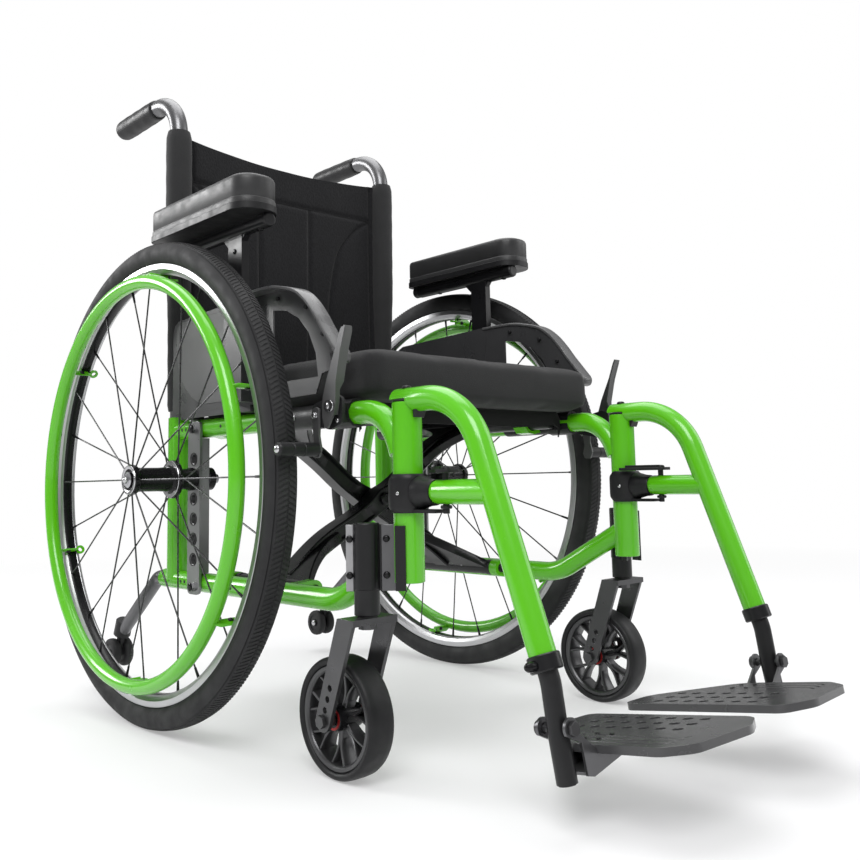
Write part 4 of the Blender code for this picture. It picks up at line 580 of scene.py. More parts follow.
def axle(side, s):
    """The axle's bar, the receiver in the axle plate and the press button."""
    at, tip = (0, 0, WHEEL_R), (WHEEL_X + 0.0305, 0)
    line = mm((172.5, 0.5), (172.5, 6.2), (179, 6.2), (179, 10), (180, 12.2), (187, 14.6), (190.2, 14.7), (190.2, 5.8),
              (207.6, 5.8), (207.6, 14.5), (215, 14), (217, 12), (230.8, 11.5), (230.8, 5.8))
    line += mm((-50, 5.8), (0.2, 5.8), (0.2, 9.8), (1.4, 10), (3.2, 8), (3.6, 4.6), (-20, 4.6), (-20, 0.5), at=tip)
    part("axle_bar", side, turned(s, line, at, 40), "silver", smooth=30, replaces="axle")
    outer = mm((207.7, 6), (207.7, 15), (214, 15.4), (218, 13.6), (230.6, 13), (230.6, 6))
    inner = mm((179.5, 6), (179.5, 12.6), (181.5, 15), (190.1, 15.4), (190.1, 6))
    part("axle_receiver", side, [turned(s, p, at, 40) for p in (outer, inner)], "gloss_black", smooth=30)
    button = mm((-8.5, 0.3), (-8.5, 4.1), (4, 4.1), (6, 3.4), (7.2, 2), (7.5, 0.3), at=tip)
    part("button", side, turned(s, button, at, 32), "steel", "axle_button", smooth=40, replaces="axle_button")


def caster(side, s):
    """The caster's tyre, its rim with seven pairs of spokes, and its hub between red seals."""
    centre = Vector((s * STEM_X, CASTER_Y, CASTER_R))
    tyre = mm((13.8, 52.2), (15, 54), (15.9, 56), (15.8, 57.2), (14.6, 58.8), (11.8, 60), (6, 60.5))
    part("caster_tyre_skin", side, lathe(mirrored(tyre), centre, 96), "small_tyre", "caster", smooth=60,
         replaces="caster_tyre")
    hub = mm((-15.8, 4.6), (-15.8, 10.8), (-15, 12), (-11, 13), (11, 13), (15, 12), (15.8, 10.8), (15.8, 4.6))
    part("caster_hub", side, lathe(hub, centre, 48), "gloss_black", "caster", smooth=30)
    rim = mm((12.8, 51.8), (13.6, 50.8), (13.2, 47.8), (11.8, 46.2), (10.6, 45.6))
    part("caster_rim", side, lathe(mirrored(rim), centre, 96), "fork", "caster", smooth=30, replaces="caster_wheel")
    spokes = []
    line = smooth_line(mm((11.8, 1.6, 0), (24, 1.7, 0), (34, 4.2, 0), (46.2, 10, 0)), 5)
    corners = ((-1, -0.55), (-0.86, -1), (0.86, -1), (1, -0.55), (1, 0.55), (0.86, 1), (-0.86, 1), (-1, 0.55))
    for angle in turns(7):
        for way in (-1, 1):
            loops = []
            for p in line:
                wide, tall = 0.0018 + 0.03 * abs(p.x - 0.03) * 0.0012, 0.006 + 0.0045 * (p.x / 0.046) ** 2
                loops.append([(dx * tall, way * (p.y + dy * wide), p.x) for dx, dy in corners])
            spokes.append(moved(rings(loops), Matrix.Translation(centre) @ Matrix.Rotation(angle, 4, "X")))
    part("caster_spokes", side, spokes, "fork", "caster", smooth=40)
    seal = mm((15, 8.5), (15, 11.2), (16.3, 11), (16.3, 8.7))
    part("caster_seal", side, [turned(way, seal, centre, 32) for way in (-1, 1)], "red", "caster")


# Frame
def lower_path(s):
    """The middle line of the lower frame tube."""
    x = s * FRAME_X
    return bent([(x, 0.104, LOWER_Z), (x, -0.29, LOWER_Z), (x, POST_Y + 0.004, 0.229)], [0.085], 14)


def side_frame(side, s):
    """The green tubes, the lugs of the brace's lower pivot and the saddles of its seat rail."""
    x, front, rear = s * FRAME_X, BRACE_Y - 0.075, BRACE_Y + 0.075
    rail = bent([(x, UPRIGHT_Y, RAIL_Z), (x, -0.375, RAIL_Z), (x, -0.393, 0.326)], [0.055], 14)
    shapes = [pole(x, POST_Y, 0.196, 0.3775, POST_R, 36, soft=0.0008), sweep(rail, TUBE_R),
              sweep(lower_path(s), TUBE_R), pole(x, UPRIGHT_Y, LOWER_Z, RAIL_Z + 0.019, 0.0145, 36, soft=0.0006)]
    lug = mm((0, -11.5), (0, 12.5), at=(FRAME_X, LOWER_Z), s=s)
    lug += [(s * (BRACE_X + p), BRACE_Z + q) for p, q in arc((0, 0), 0.0115, 90, 270, 14)]
    for low in (front - 0.014, rear + 0.0005):
        shapes.append(slab(lug, low, low + 0.0135, "Y"))
    saddle = arc((BRACE_X, SEAT_RAIL_Z), SEAT_RAIL_R + 0.0009, 210, 330, 14)
    saddle += [(FRAME_X - 0.004, saddle[-1][1]), (FRAME_X - 0.004, RAIL_Z - 0.01)]
    saddle += mm((4, -18), (-9, -16.5), (-15.5, -8.5), at=(BRACE_X, SEAT_RAIL_Z))
    for y in (-0.263, -0.014):
        shapes.append(slab([(s * a, b) for a, b in saddle], y - 0.011, y + 0.011, "Y"))
    cuts = [pole(x, UPRIGHT_Y, RAIL_Z - 0.03, RAIL_Z + 0.03, 0.0128, 28),
            rod((x, 0.062, LOWER_Z), (x, 0.12, LOWER_Z), 0.01, 28)]
    part("frame", side, shapes, "green", smooth=34, replaces="side_frame", cuts=cuts)
    pivot = s * BRACE_X
    pins = [rod((pivot, front - 0.0105, BRACE_Z), (pivot, rear + 0.0105, BRACE_Z), 0.0052, 20)]
    for y, way in ((front - 0.014, -1), (rear + 0.014, 1)):
        pins.append(dome((pivot, y, BRACE_Z), (0, way, 0), 0.0062, 0.0038))
    # painted shade: black discs set flush into the tubes stand for the dark insides of holes that are not cut
    holes, skin = [], FRAME_X + TUBE_R
    for y in (-0.06, -0.085, 0.03, 0.04):
        for z in (RAIL_Z, LOWER_Z):
            holes.append(beam(s * (skin - 0.003), s * (skin + 0.0002), y, z, 0.0022, 12))
    part("brace_pins", side, pins, "gloss_black", smooth=40)
    part("frame_hole_shade", side, holes, "black")


def cross_arm(letter, s, mid_y):
    """A moulded arm of the folding brace: ribbed edges, hollow flanks, and webs that flare to its two sleeves."""
    body, reach, lean = f"arm_{letter}", 0.1927, math.atan2(SEAT_RAIL_Z - BRACE_Z, 2 * BRACE_X)
    c, d = math.cos(lean), math.sin(lean)
    y0, y1, deep, middle = BRACE_Y - 0.0745, BRACE_Y + 0.0745, 0.0131, (SEAT_RAIL_Z + BRACE_Z) / 2

    def at(along, off, y):
        return s * (along * c - off * d), y, middle + along * d + off * c

    loops = []
    for k in range(61):
        share = -0.93 + 1.86 * k / 60
        a = abs(share)
        bow = 0.005 * math.sin(math.pi * min((a - 0.3) / 0.6, 1)) if a > 0.3 else -0.0015 * math.sin(math.pi * a / 0.3)
        h = 0.012 - 0.0028 * max(0.0, (a - 0.5) / 0.43) ** 1.5 + 0.0022 * max(0.0, 1 - a / 0.12)
        e = 0.005 * min(max((a - 0.1) / 0.08, 0), 1) * (1 - max(0.0, (a - 0.6) / 0.33))
        front = mm((-1.6, 0), (-3.4, 0), at=(h, deep)) + mm((-5.6, 0), at=(h, deep - e))
        front = [(-o, b) for o, b in front] + front[::-1] + [(h, deep - 0.0016)]
        ring = [(-h, -deep + 0.0016), (-h, deep - 0.0016)] + front + [(o, -b) for o, b in front[:0:-1]]
        ring.append((-h + 0.0016, -deep))
        loops.append([at(share * reach, bow + o, mid_y + b) for o, b in ring])
    shapes = [rings(loops)]
    for way in (-1, 1):
        flare = []
        for k in range(13):
            u = k / 12
            low = mid_y - deep + 0.001 + (y0 + 0.001 - mid_y + deep - 0.001) * u ** 1.7
            high = mid_y + deep - 0.001 + (y1 - 0.001 - mid_y - deep + 0.001) * u ** 5
            thick, soft = 0.007 - 0.0015 * u, 0.0015
            half = [(soft - thick, low), (-thick, low + soft), (-thick, high - soft), (soft - thick, high)]
            line = half + [(-o, b) for o, b in reversed(half)]
            flare.append([at(way * reach * (0.46 + 0.51 * u), 0.004 * math.sin(math.pi * u) + o, b) for o, b in line])
        shapes.append(rings(flare))
    sleeve = mm((0, 9.6), (0.8, 10.8), (8.5, 10.8), (9.2, 10), at=(y0, 0))
    sleeve += mm((-9.2, 10), (-8.5, 10.8), (-0.8, 10.8), (0, 9.6), at=(y1, 0))
    shapes.append(rings([[(r * math.cos(a) - s * BRACE_X, y, BRACE_Z + r * math.sin(a)) for a in turns(28)]
                         for y, r in sleeve]))
    shapes.append(rod((s * BRACE_X, -0.308, SEAT_RAIL_Z), (s * BRACE_X, 0.046, SEAT_RAIL_Z), SEAT_RAIL_R, 32,
                      soft=0.0015))
    hinge = rod((-s * BRACE_X, y0 - 0.01, BRACE_Z), (-s * BRACE_X, y1 + 0.01, BRACE_Z), 0.0056, 20)
    piece(f"cross_arm_{letter}_form", shapes, "satin_black", body, smooth=34, replaces=[f"cross_arm_{letter}"],
          cuts=[hinge])
    bolts = [dome((-s * (BRACE_X - 0.0094), y, BRACE_Z + 0.003), (s, 0, 0.35), 0.003, 0.0022, 16)
             for y in (-0.0614, -0.14)]
    piece(f"cross_arm_{letter}_bolts", bolts, "steel", body, smooth=45)


def back_post(side, s):
    """The back cane, bent back into the push handle, and its ribbed grip."""
    x, lean, end = s * FRAME_X, s * LEAN, 0.2605
    path = bent([(x, UPRIGHT_Y, 0.337), (x, UPRIGHT_Y, BACK_LOW), (x + lean, UPRIGHT_Y + 0.002, HANDLE_Z),
                 (x + lean, end - 0.012, HANDLE_Z)], [0, 0.06], 18)
    part("cane", side, sweep(path, 0.0125, 36), "cane", smooth=50, replaces="back_cane")
    line = mm((0, 13), (0.8, 14.1), (3, 14.7), (7, 15))
    for t in [k / 18 for k in range(19)]:
        line.append((0.012 + t * 0.088, 0.015 + 0.0005 * t + 0.0004 * math.sin(t * math.pi * 3) ** 2))
    line += mm((106, 15.5), (111, 15.1), (115, 13.8), (117.5, 11.2), (119, 7), (119.5, 1))
    loops = [[(x + lean + r * math.cos(a), 0.138 + t, HANDLE_Z + r * math.sin(a)) for a in turns(32)] for t, r in line]
    part("grip", side, rings(loops), "black", smooth=60, replaces="push_grip")


def axle_plate_trim(side, s):
    """The rims of the axle holes and the plate's bolts."""
    face = s * 0.207
    rim = mm((-1, 6.8), (0.6, 7), (0.6, 8.6), (-1, 8.8), at=(0.207, 0))
    rims = [turned(s, rim, (0, 0, WHEEL_R + step * 0.0262), 28) for step in (1, -1, -2, -3, -4)]
    bolts = [dome((face + s * 0.0038, 0, z), (s, 0, 0), 0.0056, 0.0022) for z in (0.165, 0.371)]
    part("plate_hole_rims", side, rims, "black")
    part("plate_bolts", side, bolts, "gloss_black")


def housing(side, s):
    """The clamp of the caster's stem: two light flanges, a black barrel between them, a block and cap screws."""
    d, n = Vector((-s, -1, 0)).normalized(), Vector((s, -1, 0)).normalized()
    stem_at, low, high = (s * STEM_X, STEM_Y), 0.1885, 0.254

    def upright(u0, u1, v0, v1, z0, z1):
        corners = [(u0, v0), (u1, v0), (u1, v1), (u0, v1)]
        return rings([[Vector((*stem_at, z)) + d * a + n * b for a, b in corners] for z in (z0, z1)])

    post = pole(s * FRAME_X, POST_Y, low - 0.02, high + 0.02, POST_R + 0.0003, 36)
    tube, stem = sweep(lower_path(s), TUBE_R + 0.0004), pole(*stem_at, 0.15, high - 0.006, 0.0074, 24)
    barrel = pole(*stem_at, low + 0.001, high + 0.0018, 0.0136, 40, soft=0.001)
    block = upright(0.03, 0.0405, -0.002, 0.018, low + 0.001, high - 0.001)
    part("housing_block", side, [barrel, upright(-0.02, 0.0325, -0.004, 0.0018, low, high), block], "satin_black",
         edge=0.0009, replaces="caster_housing", cuts=[post, tube, stem])
    sleeve = pole(*stem_at, 0.1646, low + 0.002, 0.013, 40, soft=0.0006)
    part("housing_barrel", side, sleeve, "charcoal", smooth=40, cuts=[stem])
    heads, sockets = [], []
    for u in (-0.0168, 0.0205):
        for z in (low + 0.0155, high - 0.014):
            at = Vector((*stem_at, z)) + d * u + n * 0.003
            heads.append(dome(at, n, 0.0036, 0.003, 20))
            sockets.append(rod(at + n * 0.0024, at + n * 0.0031, 0.0014, 6))
    for name, start, end, look, edge in (("flange", -0.0206, -0.0132, "flange", 0.0004),
                                         ("plate", 0.015, 0.03, "anodised", 0.0008)):
        part(f"housing_{name}", side, upright(start, end, 0.001, 0.0031, low - 0.0003, high + 0.0003), look, edge=edge)
    part("housing_screws", side, heads, "gloss_black", smooth=45)
    part("housing_sockets", side, sockets, "black")


def hanger_y(z):
    """Where the leaning hanger tube is at a height."""
    return HANGER_FOOT[0] + (z - HANGER_FOOT[1]) * math.tan(HANGER_LEAN)


def tube_end(t):
    """A hanger tube's radius: it closes over the post with a rounded end."""
    return {0: TUBE_R - 0.0042, 1: TUBE_R - 0.0016}.get(round(t * 29), TUBE_R)


def hanger(side, s):
    """The swing-away tube with its saddle round the post, its cross-bar, liner and lower collar."""
    x, out = s * FRAME_X, s * (POST_R + 0.0046)
    path = bent([(x, POST_Y + 0.0125, HANGER_Z), (x, hanger_y(HANGER_Z), HANGER_Z), (x, *HANGER_FOOT)], [0.075], 26)
    path[0:1] = [Vector((x, POST_Y + a, HANGER_Z)) for a in (0.0158, 0.015, 0.0125)]
    notch = pole(x, POST_Y, HANGER_Z - 0.03, HANGER_Z + 0.0012, POST_R + 0.0009, 36)
    behind = slab(mm((-20, 0), (20, 0), (20, 30), (-20, 30), at=(x, POST_Y)), HANGER_Z - 0.03, HANGER_Z + 0.0011, "Z")
    part("hanger_tube", side, sweep(path, tube_end, 36), "green", "hanger", smooth=50, replaces="hanger",
         cuts=[notch, behind])
    wrap, inside, outside = [], POST_R + 0.0004, POST_R + 0.0052
    for k in range(41):
        a = math.radians(150 + 240 * k / 40) if s > 0 else math.radians(30 - 240 * k / 40)
        cut = 0.0045 * max(0.0, (abs(2 * k / 40 - 1) - 0.8) / 0.2) ** 2
        low, high = 0.2652 + cut, 0.3042 - cut
        band = [(inside, low + 0.0008)] + mm((-2.2, 0), (-0.3, 2.2), (0, 6), at=(outside, low))
        band += mm((0, -6), (-0.3, -2.2), (-2.2, 0), at=(outside, high)) + [(inside, high - 0.0008)]
        wrap.append([(x + r * math.cos(a), POST_Y + r * math.sin(a), z) for r, z in band])
    cone = []
    for t, wide, tall in mm((16, 15, 16.5), (21.5, 16.2, 16.8), (27, 15, 15.2), (33, 13.6, 13.6), (40, 13, 13),
                            (41.2, 12.4, 12.4)):
        cone.append([(x + wide * math.cos(a), POST_Y - t, CROSSBAR_Z - 0.0004 + tall * math.sin(a)) for a in turns(32)])
    post = pole(x, POST_Y, 0.24, 0.33, POST_R + 0.0003, 36)
    strip = slab(rounded(mm((-10.5, -10), (10.5, -10), (10.5, -48), (-10.5, -48), at=(x, POST_Y)), [0, 0, 0.003, 0.003],
                         4), 0.2655, 0.2688, "Z")
    part("hanger_saddle", side, [rings(wrap), rings(cone), strip], "black", "hanger", smooth=40, cuts=[post])
    rivets = [dome((x + way * out, POST_Y - 0.006, 0.285), (way * s, -0.3, 0), 0.0021, 0.0013, 14) for way in (1, -1)]
    part("hanger_rivets", side, rivets, "steel", "hanger", smooth=60)
    start = POST_Y - 0.0385
    line = [(x, start - a, CROSSBAR_Z) for a in (0.0, 0.0012, 0.0035, 0.007)] + [(x, hanger_y(CROSSBAR_Z), CROSSBAR_Z)]
    bar = sweep(line, lambda t: (0.007, 0.0098, 0.0116, 0.0121, 0.0121)[round(t * 4)], 32)
    part("hanger_bar", side, bar, "green", "hanger", smooth=60)
    wedge = mm((-1, 379.5), (-6, 379.5), (-6, 368), (-2.8, 361), (-1, 361), at=(POST_Y - POST_R, 0))
    liner = [pole(x, POST_Y, 0.3779, 0.38, POST_R - 0.0002, 36, soft=0.0006), slab(wedge, x - 0.007, x + 0.007),
             pole(x, POST_Y, 0.352, 0.381, 0.008, 28),
             dome((x, POST_Y, HANGER_Z + TUBE_R - 0.0008), (0, 0, 1), 0.005, 0.0036)]
    part("hanger_liner", side, liner, "black", "hanger", edge=0.0006)

    def along(low, high, radius, sides, soft=0.0):
        return rod((x, hanger_y(low), low), (x, hanger_y(high), high), radius, sides, soft=soft)

    screw_z = 0.1385
    screw = dome((x + s * 0.0145, hanger_y(screw_z), screw_z), (s, 0, 0), 0.0046, 0.0115)
    part("hanger_collar", side, along(0.1325, 0.146, 0.0151, 36, soft=0.0012), "satin_black", "hanger", smooth=30,
         cuts=[along(0.12, 0.15, 0.0096, 28)])
    part("hanger_screw", side, screw, "gloss_black", "hanger")


def latch(side, s):
    """The release lever that lies over the cross-bar, with its pin and the button under the bar."""
    x, y = s * FRAME_X, POST_Y - 0.0545
    lever = mm((9.5, -10.5), (10.5, 6.5), (0, 11), (-14.5, 40), (-20.5, 47.5), (-26.5, 44), (-25, 34), (-10.5, -10.5))
    rib = mm((4, -4), (-0.6, 9.5), (-18, 40), (-21.5, 38), (-7, 2))

    def lying(line, radii, steps, low, high):
        return slab(rounded([(x + s * a, y + b) for a, b in line], radii, steps), low, high, "Z")

    shapes = [lying(lever, [0.006, 0.006, 0.008, 0.01, 0.004, 0.004, 0.01, 0.006], 6, 0.3045, 0.3082),
              lying(rib, [0.003, 0.004, 0.0015, 0.0015, 0.004], 4, 0.308, 0.3112),
              pole(x, y, 0.265, 0.31, 0.0033, 20), pole(x, y, 0.2696, 0.2732, 0.0058, 24, soft=0.0008),
              dome((x, y, 0.308), (0, 0, 1), 0.0052, 0.003)]
    part("latch", side, shapes, "black", "hanger_latch", edge=0.0009, replaces="hanger_latch")


def leg(side, s):
    """The telescoping footrest tube, the pin that the footplate turns on and the plug in its end."""
    x, top = s * FRAME_X, 0.2045
    foot = Vector((x, -0.5925, 0.0435))
    path = bent([(x, hanger_y(top), top), (x, hanger_y(0.124), 0.124), (x, FLIP_Y - 0.001, FLIP_Z - 0.002), foot],
                [0.05, 0.06], 10)
    part("leg", side, sweep(path, 0.0092, 32), "charcoal", "footrest", smooth=50, replaces="footrest_tube")

    def flat(start, end, radius, sides, soft=0.0):
        return rod((x, *flip_point(start)), (x, *flip_point(end)), radius, sides, soft=soft)

    pin = [flat(0.019, -0.019, 0.0039, 20), flat(-0.0167, -0.0205, 0.0066, 24, 0.0004),
           flat(0.0167, 0.0205, 0.0066, 6, 0.0004)]
    part("leg_pin", side, pin, "fork", "footrest", smooth=30)
    ahead = (foot - Vector((x, FLIP_Y, FLIP_Z))).normalized()
    plug = rod(foot - ahead * 0.004, foot + ahead * 0.0012, 0.008, 24, soft=0.0006)
    part("leg_plug", side, plug, "black", "footrest", smooth=30)


def flip_point(along):
    """A place along the tilted footplate, before or behind the pin that it turns on."""
    return FLIP_Y - along * math.cos(TILT), FLIP_Z + along * math.sin(TILT)


def footplate(side, s):
    """The moulded plate with its holes, grooves and ribs, and the bracket that it turns up on."""
    inner, outer, rear, front = 0.026, 0.163, -0.497, -0.694
    corners = [(inner + 0.003, rear), (outer - 0.085, rear), (outer - 0.003, rear - 0.07), (outer, front + 0.029),
               (outer - 0.02, front + 0.006), (inner + 0.036, front), (inner, front + 0.016)]
    outline = rounded([(s * a, b) for a, b in corners], [0.012, 0.045, 0.042, 0.016, 0.02, 0.034, 0.016], 10)
    turn = Matrix.Rotation(-TILT, 4, "X")
    tilt = Matrix.Translation((0, FLIP_Y, PLATE_Z)) @ turn @ Matrix.Translation((0, -FLIP_Y, 0))
    cuts = []
    for row in range(3):
        for column in range(7):
            at = s * (inner + 0.0185 + row * 0.0232), rear - 0.0342 - column * 0.0179
            cuts.append(moved(pole(*at, -0.03, 0.02, 0.0051, 20), tilt))
    for i in range(3):
        x = outer - 0.012 - i * 0.012
        groove = (mm((-10, 26, 0), (-3, 34, 0), (0, 55, 0), at=(x, front, 0), s=s)
                  + mm((0, -100, 0), (-4, -80, 0), (-16, -62, 0), at=(x, rear, 0), s=s))
        cuts.append(moved(sweep(smooth_line(groove, 5), 0.0014, 8), tilt))
    plate = moved(slab(outline, -0.0075, 0, "Z"), tilt)
    part("plate", side, plate, "plate", "footplate", edge=0.0018, smooth=30, replaces="footplate", cuts=cuts)
    ribs = []
    for k in range(4):
        x = inner + 0.026 + k * 0.029
        ribs.append(box(s, (x, front + 0.046, -0.0105), (x + 0.0024, rear - 0.04 - k * 0.012, -0.007)))
    for y in (front + 0.05, front + 0.095, front + 0.14):
        ribs.append(box(s, (inner + 0.026, y, -0.0102), (outer - 0.026, y + 0.0024, -0.007)))
    part("plate_ribs", side, [moved(rib, tilt) for rib in ribs], "plate", "footplate", edge=0.0004)
    low, tip = PLATE_Z - 0.024, outer - 0.06
    c, d = math.cos(TILT), math.sin(TILT)

    def skewed(line, start, end):
        ends = (flip_point(start), flip_point(end))
        return rings([[(s * a, y + (b - FLIP_Z) * d, z + (b - FLIP_Z) * c) for a, b in line] for y, z in ends])

    cheek = arc((FRAME_X, FLIP_Z), 0.0092, -30, 210, 16)
    cheek += [(outer - 0.003, PLATE_Z - 0.004), (tip, PLATE_Z - 0.003), (tip, PLATE_Z - 0.01), (FRAME_X - 0.021, low),
              (FRAME_X - 0.0125, low + 0.002), (FRAME_X - 0.0105, FLIP_Z - 0.013)]
    floor = [(tip + 0.002, PLATE_Z - 0.0098), (FRAME_X - 0.0205, low + 0.0003), (FRAME_X - 0.0205, low + 0.003),
             (tip + 0.002, PLATE_Z - 0.0066)]
    bracket = [skewed(cheek, start, start + 0.0028) for start in (0.0135, -0.0163)] + [skewed(floor, -0.0153, 0.0153)]
    hole = rod((s * FRAME_X, *flip_point(0.04)), (s * FRAME_X, *flip_point(-0.04)), 0.0045, 20)
    part("plate_bracket", side, bracket, "anodised", "footplate", edge=0.0005, cuts=[hole])
    screws = []
    for a in (0.122, 0.142):
        for y, z in (flip_point(-0.008), flip_point(0.008)):
            at = (s * a, y + 0.022 * d - 0.018 * d, z - 0.018 * c + 0.0002)
            screws.append(dome(at, (0, 0.148, 0.989), 0.0024, 0.0009, 16))
    part("plate_screws", side, screws, "gloss_black", "footplate", smooth=50)


def anti_tip(side, s):
    """The bent tube at the rear, with its fork, its pin and a pair of small wheels."""
    x, end, hub = s * FRAME_X, (0.238, 0.08), (0.25, 0.05)
    path = bent([(x, 0.067, LOWER_Z), (x, 0.124, LOWER_Z), (x, *end)], [0.022], 16)
    part("tip_leg", side, sweep(path, 0.0094, 28), "anodised", "anti_tip", smooth=50, replaces="anti_tip_tube")
    start = Vector((x, *end))
    ahead = (Vector((x, *hub)) - start).normalized()
    cap = rod(start - ahead * 0.02, start + ahead * 0.004, 0.0124, 28, soft=0.001)
    fin = [(end[0] - 0.006, end[1] + 0.002), (end[0] + 0.006, end[1] + 0.006)] + arc(hub, 0.0075, 30, -150, 14)
    prong = slab(fin, x - 0.0028, x + 0.0028)
    part("tip_fork", side, [cap, prong], "black", "anti_tip", smooth=34,
         cuts=[beam(x - 0.02, x + 0.02, *hub, 0.0033, 20)])
    wheels, hubs = [], []
    for way in (-1, 1):
        at = (x + way * 0.0038, *hub)
        line = mm((0, 13), (0, 18.5), (1.6, 20.5), (4, 21.1), (7.8, 21.1), (10, 20.5), (11.6, 18.5), (11.6, 13))
        wheels.append(turned(way, line, at, 48))
        disc = mm((1.2, 3.4), (1.2, 13.2), (10.4, 13.2), (10.4, 6.2), (11.6, 6), (11.6, 3.4))
        hubs.append(turned(way, disc, at, 40))
    axle_pin = [beam(x - 0.0145, x + 0.0145, *hub, 0.0029, 18)]
    for way in (-1, 1):
        axle_pin.append(dome((x + way * 0.0155, *hub), (way, 0, 0), 0.0048, 0.003))
    part("tip_wheels", side, wheels, "tyre", "anti_tip_wheel", smooth=45, replaces="anti_tip_wheels")
    part("tip_hubs", side, hubs, "black", "anti_tip_wheel", smooth=30)
    part("tip_pin", side, axle_pin, "steel", "anti_tip_wheel", smooth=45)


# Brakes, arms and guards
def brake(side, s):
    """The folded lever, its clamp's rivets and band, and the bent arm with the bar that presses on the tyre."""
    pivot, shoe_pivot, out = (-0.341, 0.376), (-0.311, 0.368), 0.2426
    lever = mm((-332.2, 354.5), (-328.8, 365), (-328.4, 377.5), (-330, 387), (-336.2, 404), (-350, 433),
               (-360.3, 454.5), (-362.8, 456.8), (-366.2, 456.2), (-366.8, 453), (-359.2, 432), (-351.8, 404),
               (-351.2, 380), (-348.8, 369), (-340, 356.5), (-337.2, 353))
    fold = mm((-348, 366.5, 236.6), (-350.8, 380, 236.6), (-351.4, 393, 236.6), (-351.7, 401, 231.6),
              (-359, 432, 231.2), (-366.2, 452, 231.6), (-368, 457.2, 233))
    loops = []
    for i, (a, b, inner) in enumerate(fold):
        p, q = fold[max(i - 1, 0)], fold[min(i + 1, len(fold) - 1)]
        way = Vector((0, q[0] - p[0], q[1] - p[1])).normalized()
        back = Vector((0, way.z, -way.y)) * 0.0024
        outside, inside = Vector((s * out, a, b)), Vector((s * inner, a, b))
        loops.append([outside, inside, inside + back, outside + back])
    part("lever", side, [slab(lever, s * (out - 0.0024), s * out), rings(loops)], "lever", "brake_lever", edge=0.0005,
         replaces="brake_lever", cuts=[beam(s * 0.22, s * 0.26, *pivot, 0.0039, 20)])
    bolts = [beam(s * 0.24, s * 0.2436, *pivot, 0.0064, 24, soft=0.0004),
             dome((s * 0.2434, *pivot), (s, 0, 0), 0.0046, 0.0026, 20)]
    for at in mm((-304.5, 357.5), (-345, 361), (-326.2, 356)):
        bolts.append(dome((s * 0.2353, *at), (s, 0, 0), 0.0026, 0.0016, 16))
    bolts.append(beam(s * 0.23, s * 0.24, *shoe_pivot, 0.0036, 20, soft=0.0004))
    bolts.append(dome((s * 0.2398, *shoe_pivot), (s, 0, 0), 0.0034, 0.0024, 16))
    part("brake_bolts", side, bolts, "steel", smooth=45)
    arm = rounded(mm((-318, 374.5), (-312, 377.5), (-304.5, 374.5), (-304, 364), (-307.8, 342), (-304.6, 330),
                     (-307.5, 323.5), (-317, 323.5), (-320.6, 332), (-317, 346), (-318, 362)),
                  [0.003, 0.004, 0.003, 0.004, 0.01, 0.004, 0.003, 0.003, 0.004, 0.01, 0.004], 4)
    part("shoe_arm", side, slab(arm, s * 0.2358, s * 0.2384), "lever", "brake_shoe", edge=0.0004,
         cuts=[beam(s * 0.22, s * 0.26, *shoe_pivot, 0.0039, 20)], replaces="brake_shoe")

    def tube(front, rear, radius, soft=0.0):
        return rod((s * FRAME_X, front, RAIL_Z), (s * FRAME_X, rear, RAIL_Z), radius, 36, soft=soft)

    heads = [dome((s * (FRAME_X + TUBE_R + 0.0008), y, RAIL_Z), (s, 0, 0), 0.0038, 0.0022, 20)
             for y in (-0.276, -0.222)]
    part("brake_band", side, tube(-0.29, -0.206, TUBE_R + 0.0013, 0.001), "black", smooth=40,
         cuts=[tube(-0.31, -0.19, TUBE_R + 0.0002)])
    part("brake_band_bolts", side, heads, "steel", smooth=45)
    bar_y, bar_z = -0.3128, 0.332
    bar = mm((236.6, 5.5), (237.2, 7.2), (240, 7.4), (256, 7.4), (256.6, 6.9), (257.4, 6.9), (258, 7.4), (270, 7.4),
             (270.6, 6.9), (271.4, 6.9), (272, 7.4), (287, 7.4), (288.5, 6.2))
    loops = [[(s * a, bar_y + r * math.cos(q), bar_z + r * math.sin(q)) for q in turns(28)] for a, r in bar]
    part("shoe_bar", side, rings(loops), "black", "brake_shoe", smooth=30)
    part("shoe_end", side, dome((s * 0.288, bar_y, bar_z), (s, 0, 0), 0.0042, 0.0026, 20), "steel", "brake_shoe",
         smooth=45)


